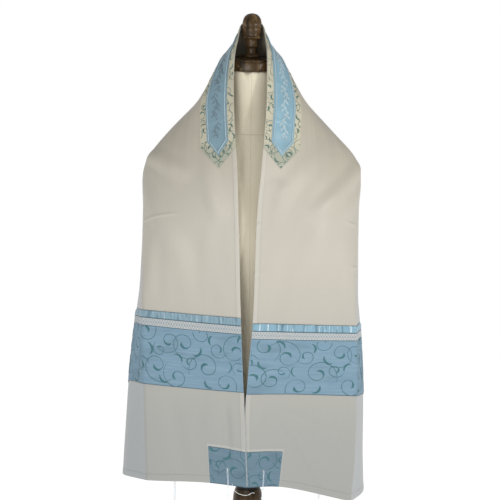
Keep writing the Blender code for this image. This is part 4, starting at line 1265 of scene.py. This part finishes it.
def makeTassel(side, word, corner, across):
    bundle = Bundle()
    hem = cloth.place(side * shawl["halfLength"], across, 0.0)

    def hang(out, back, down, radius, sides):
        # a thread below the hem, from offsets in mm
        offsets = np.stack(np.broadcast_arrays(out, back, -down), axis=1)
        bundle.tube(hem + offsets * mm, radius * mm, sides)

    def coil(low, high, radius, pitch, wire):
        turns = (high - low) / pitch
        part = np.linspace(0.0, 1.0, max(16, round(turns * 12)))
        angle = turn * turns * part + side
        hang(radius * np.cos(angle), radius * np.sin(angle), low + (high - low) * part, wire, 5)

    for offset in tassel["loopThreads"]:
        bundle.tube(loopRoute(side, across + offset), tassel["loop"] * mm)
    core = tassel["core"]
    hang(0.0, 0.0, np.linspace(core["from"], core["to"], 20), core["radius"], 8)
    for low, high in tassel["windings"]:
        coil(low, high, *tassel["winding"])
    for low, high in tassel["knots"]:
        coil(low - 0.3, high + 0.3, *tassel["knotOuter"])
        coil(high, low, *tassel["knotInner"])
    part = np.linspace(0.0, 1.0, 30)
    count = tassel["strands"]
    knotted = 1.0 + 0.35 * ridge(part - 0.975, 0.02) - 0.25 * smoothStep(part, 0.985, 1.0)
    for strand in range(count):
        angle = turn * (strand + 0.5) / count
        sway = 1.0 + 0.25 * math.sin(2.1 * strand + side)
        reach = tassel["strandReach"][0] + tassel["strandReach"][1] * np.sin(part * 1.7) * sway
        length = tassel["strandLength"] * (1.0 - 0.07 * ((strand * 3) % count) / count)
        drift = 2.0 * np.sin(5.0 * part + strand) * part
        crimp = 0.5 * np.sin(34.0 * part + 2.3 * strand) * part
        out, back = reach * math.cos(angle) + drift + crimp, reach * math.sin(angle) + crimp * 0.7
        hang(out, back, tassel["root"] + part * length, tassel["strand"] * knotted, 6)
    return bundle.build(f"tassel_{corner}_{word}", "thread", "white_thread", f"tzitzit_{corner}_{word}")


looseThread = {
    "radius": 0.42,
    "route": (
        (-30.0, -115.6, 655.0), (-28.0, -119.0, 645.5), (-22.0, -121.5, 638.5), (-14.5, -122.0, 634.5),
        (-6.0, -122.0, 632.5), (2.0, -121.4, 633.5), (8.0, -120.6, 637.0), (12.5, -119.8, 636.0),
    ),
}


def makeLooseThread():
    # one thread end that has sprung free of the left tassel and curls below the hem
    bundle = Bundle()
    bundle.tube(smoothRoute(np.array(looseThread["route"]) * mm, 60), looseThread["radius"] * mm)
    return bundle.build("loose_thread", "thread", "white_thread")


def makeEyelets():
    # each tassel's hole is overcast all round in the patch's own colour
    bundle = Bundle()
    ring = np.linspace(0.0, turn, 28)
    for side in (-1, 1):
        for corner in corners.values():
            alongRing = 0.5 * sum(holes["along"]) + eyelet["ring"] * np.cos(ring)
            acrossRing = 0.5 * sum(corner["hole"]) + eyelet["ring"] * np.sin(ring)
            bundle.tube(cloth.place(side * alongRing, acrossRing, eyelet["height"]), eyelet["wire"] * mm)
    return bundle.build("tassel_eyelets", "organzaDeep", "blue_organza")


tassels = [makeEyelets()]
for side, word in hands:
    tassels += [makeTassel(side, word, corner, 0.5 * sum(corners[corner]["hole"])) for corner in corners]
tassels.append(makeLooseThread())
report("tassels knotted")

sewnOn + tassels

# The dress form.
form = {"cuts": 2, "merge": 0.00002, "steps": 96, "bevel": 0.0006, "bevelFrom": 24.0, "sharpFrom": 40.0}


def editAll():
    bpy.ops.object.mode_set(mode="EDIT")
    bpy.ops.mesh.select_all(action="SELECT")


def makeTorso():
    # the solid's own shape, merged and rounded
    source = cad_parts["torso"]
    bpy.ops.object.select_all(action="DESELECT")
    torso = source.copy()
    torso.data = source.data.copy()
    torso.name = "form_torso"
    for key in list(torso.keys()):
        del torso[key]
    bpy.context.scene.collection.objects.link(torso)
    torso.select_set(True)
    bpy.context.view_layer.objects.active = torso
    editAll()
    bpy.ops.mesh.remove_doubles(threshold=form["merge"])
    bpy.ops.mesh.tris_convert_to_quads(face_threshold=1.0, shape_threshold=1.2)
    bpy.ops.object.mode_set(mode="OBJECT")
    smooth = torso.modifiers.new("round", "SUBSURF")
    smooth.levels = smooth.render_levels = form["cuts"]
    bpy.ops.object.modifier_apply(modifier="round")
    torso.data.materials.clear()
    torso.data.materials.append(finishes["canvas"])
    bpy.ops.object.shade_smooth()
    return dress(torso, "canvas", "torso")


# Turned pieces: height of the underside, then (radius, height above it) from the top down.
turnings = {
    "finial": (1442.6, (
        (3, 80.5), (8.5, 79), (12.8, 75.8), (15.8, 71), (17.4, 65), (17.8, 60), (17.2, 58.6), (17.2, 57.6),
        (17.8, 56.2), (17.8, 50.5), (16.6, 46), (16, 42), (16.2, 40.5), (18, 38.8), (18.2, 37.2),
        (16.8, 35.4), (12.8, 34.4), (12.2, 30), (12.6, 21), (10.4, 19.4), (9.8, 16), (9.8, 9), (11, 7),
        (13.8, 5.6), (14.2, 2.6), (13.4, 0),
    )),
    "neck_cap": (1421.8, (
        (44, 20.5), (47.5, 20), (48.3, 18.6), (48.3, 17), (50.3, 16.2), (51.5, 15), (51.5, 2), (50.5, 0.5),
        (49.5, 0),
    )),
    "stand_post": (26.3, (
        (46, 678.4), (46, 666), (38, 660), (27, 654), (24, 646), (23, 618), (23.5, 600), (26.5, 594),
        (26.5, 584), (22, 579), (23.5, 574), (28, 562), (29.5, 546), (27.5, 524), (22, 498), (18.5, 470),
        (17.8, 440), (20.5, 432), (20.5, 424), (17.8, 416), (18.5, 300), (20.5, 160), (23, 96), (27.5, 84),
        (27.5, 72), (22, 64), (24, 40), (30, 16), (38, 0),
    )),
    "stand_base": (0, (
        (60, 26), (128, 24), (150, 20.5), (164, 15.5), (170, 9), (170, 3), (167, 0),
    )),
}


def turnOnLathe(name, underside, profile):
    # a disc at the top, drawn down ring by ring
    bpy.ops.object.select_all(action="DESELECT")
    radius, height = profile[0]
    place = (0.0, 0.0, (underside + height) * mm)
    bpy.ops.mesh.primitive_circle_add(
        vertices=form["steps"], radius=radius * mm, fill_type="NGON", location=place
    )
    piece = bpy.context.object
    bpy.ops.object.transform_apply(location=True, rotation=True, scale=True)
    editAll()
    bpy.ops.mesh.select_mode(type="FACE")
    for wide, high in profile[1:]:
        bpy.ops.mesh.extrude_region_move(TRANSFORM_OT_translate={"value": (0.0, 0.0, (high - height) * mm)})
        bpy.ops.transform.resize(value=(wide / radius, wide / radius, 1.0), center_override=(0.0, 0.0, 0.0))
        radius, height = wide, high
    bpy.ops.mesh.select_all(action="SELECT")
    bpy.ops.mesh.normals_make_consistent(inside=False)
    bpy.ops.object.mode_set(mode="OBJECT")
    bevel = piece.modifiers.new("soften", "BEVEL")
    bevel.width = form["bevel"]
    bevel.segments = 2
    bevel.limit_method = "ANGLE"
    bevel.angle_limit = math.radians(form["bevelFrom"])
    bpy.ops.object.modifier_apply(modifier="soften")
    bpy.ops.object.shade_smooth_by_angle(angle=math.radians(form["sharpFrom"]))
    piece.name = "turned_" + name
    piece.data.materials.append(finishes["wood"])
    return dress(piece, "dark_wood", name)


makeTorso()
for name, (underside, profile) in turnings.items():
    turnOnLathe(name, underside, profile)
report("dress form and stand finished")

makeCamera()
makeStudio()
report("camera, floor and lights set")
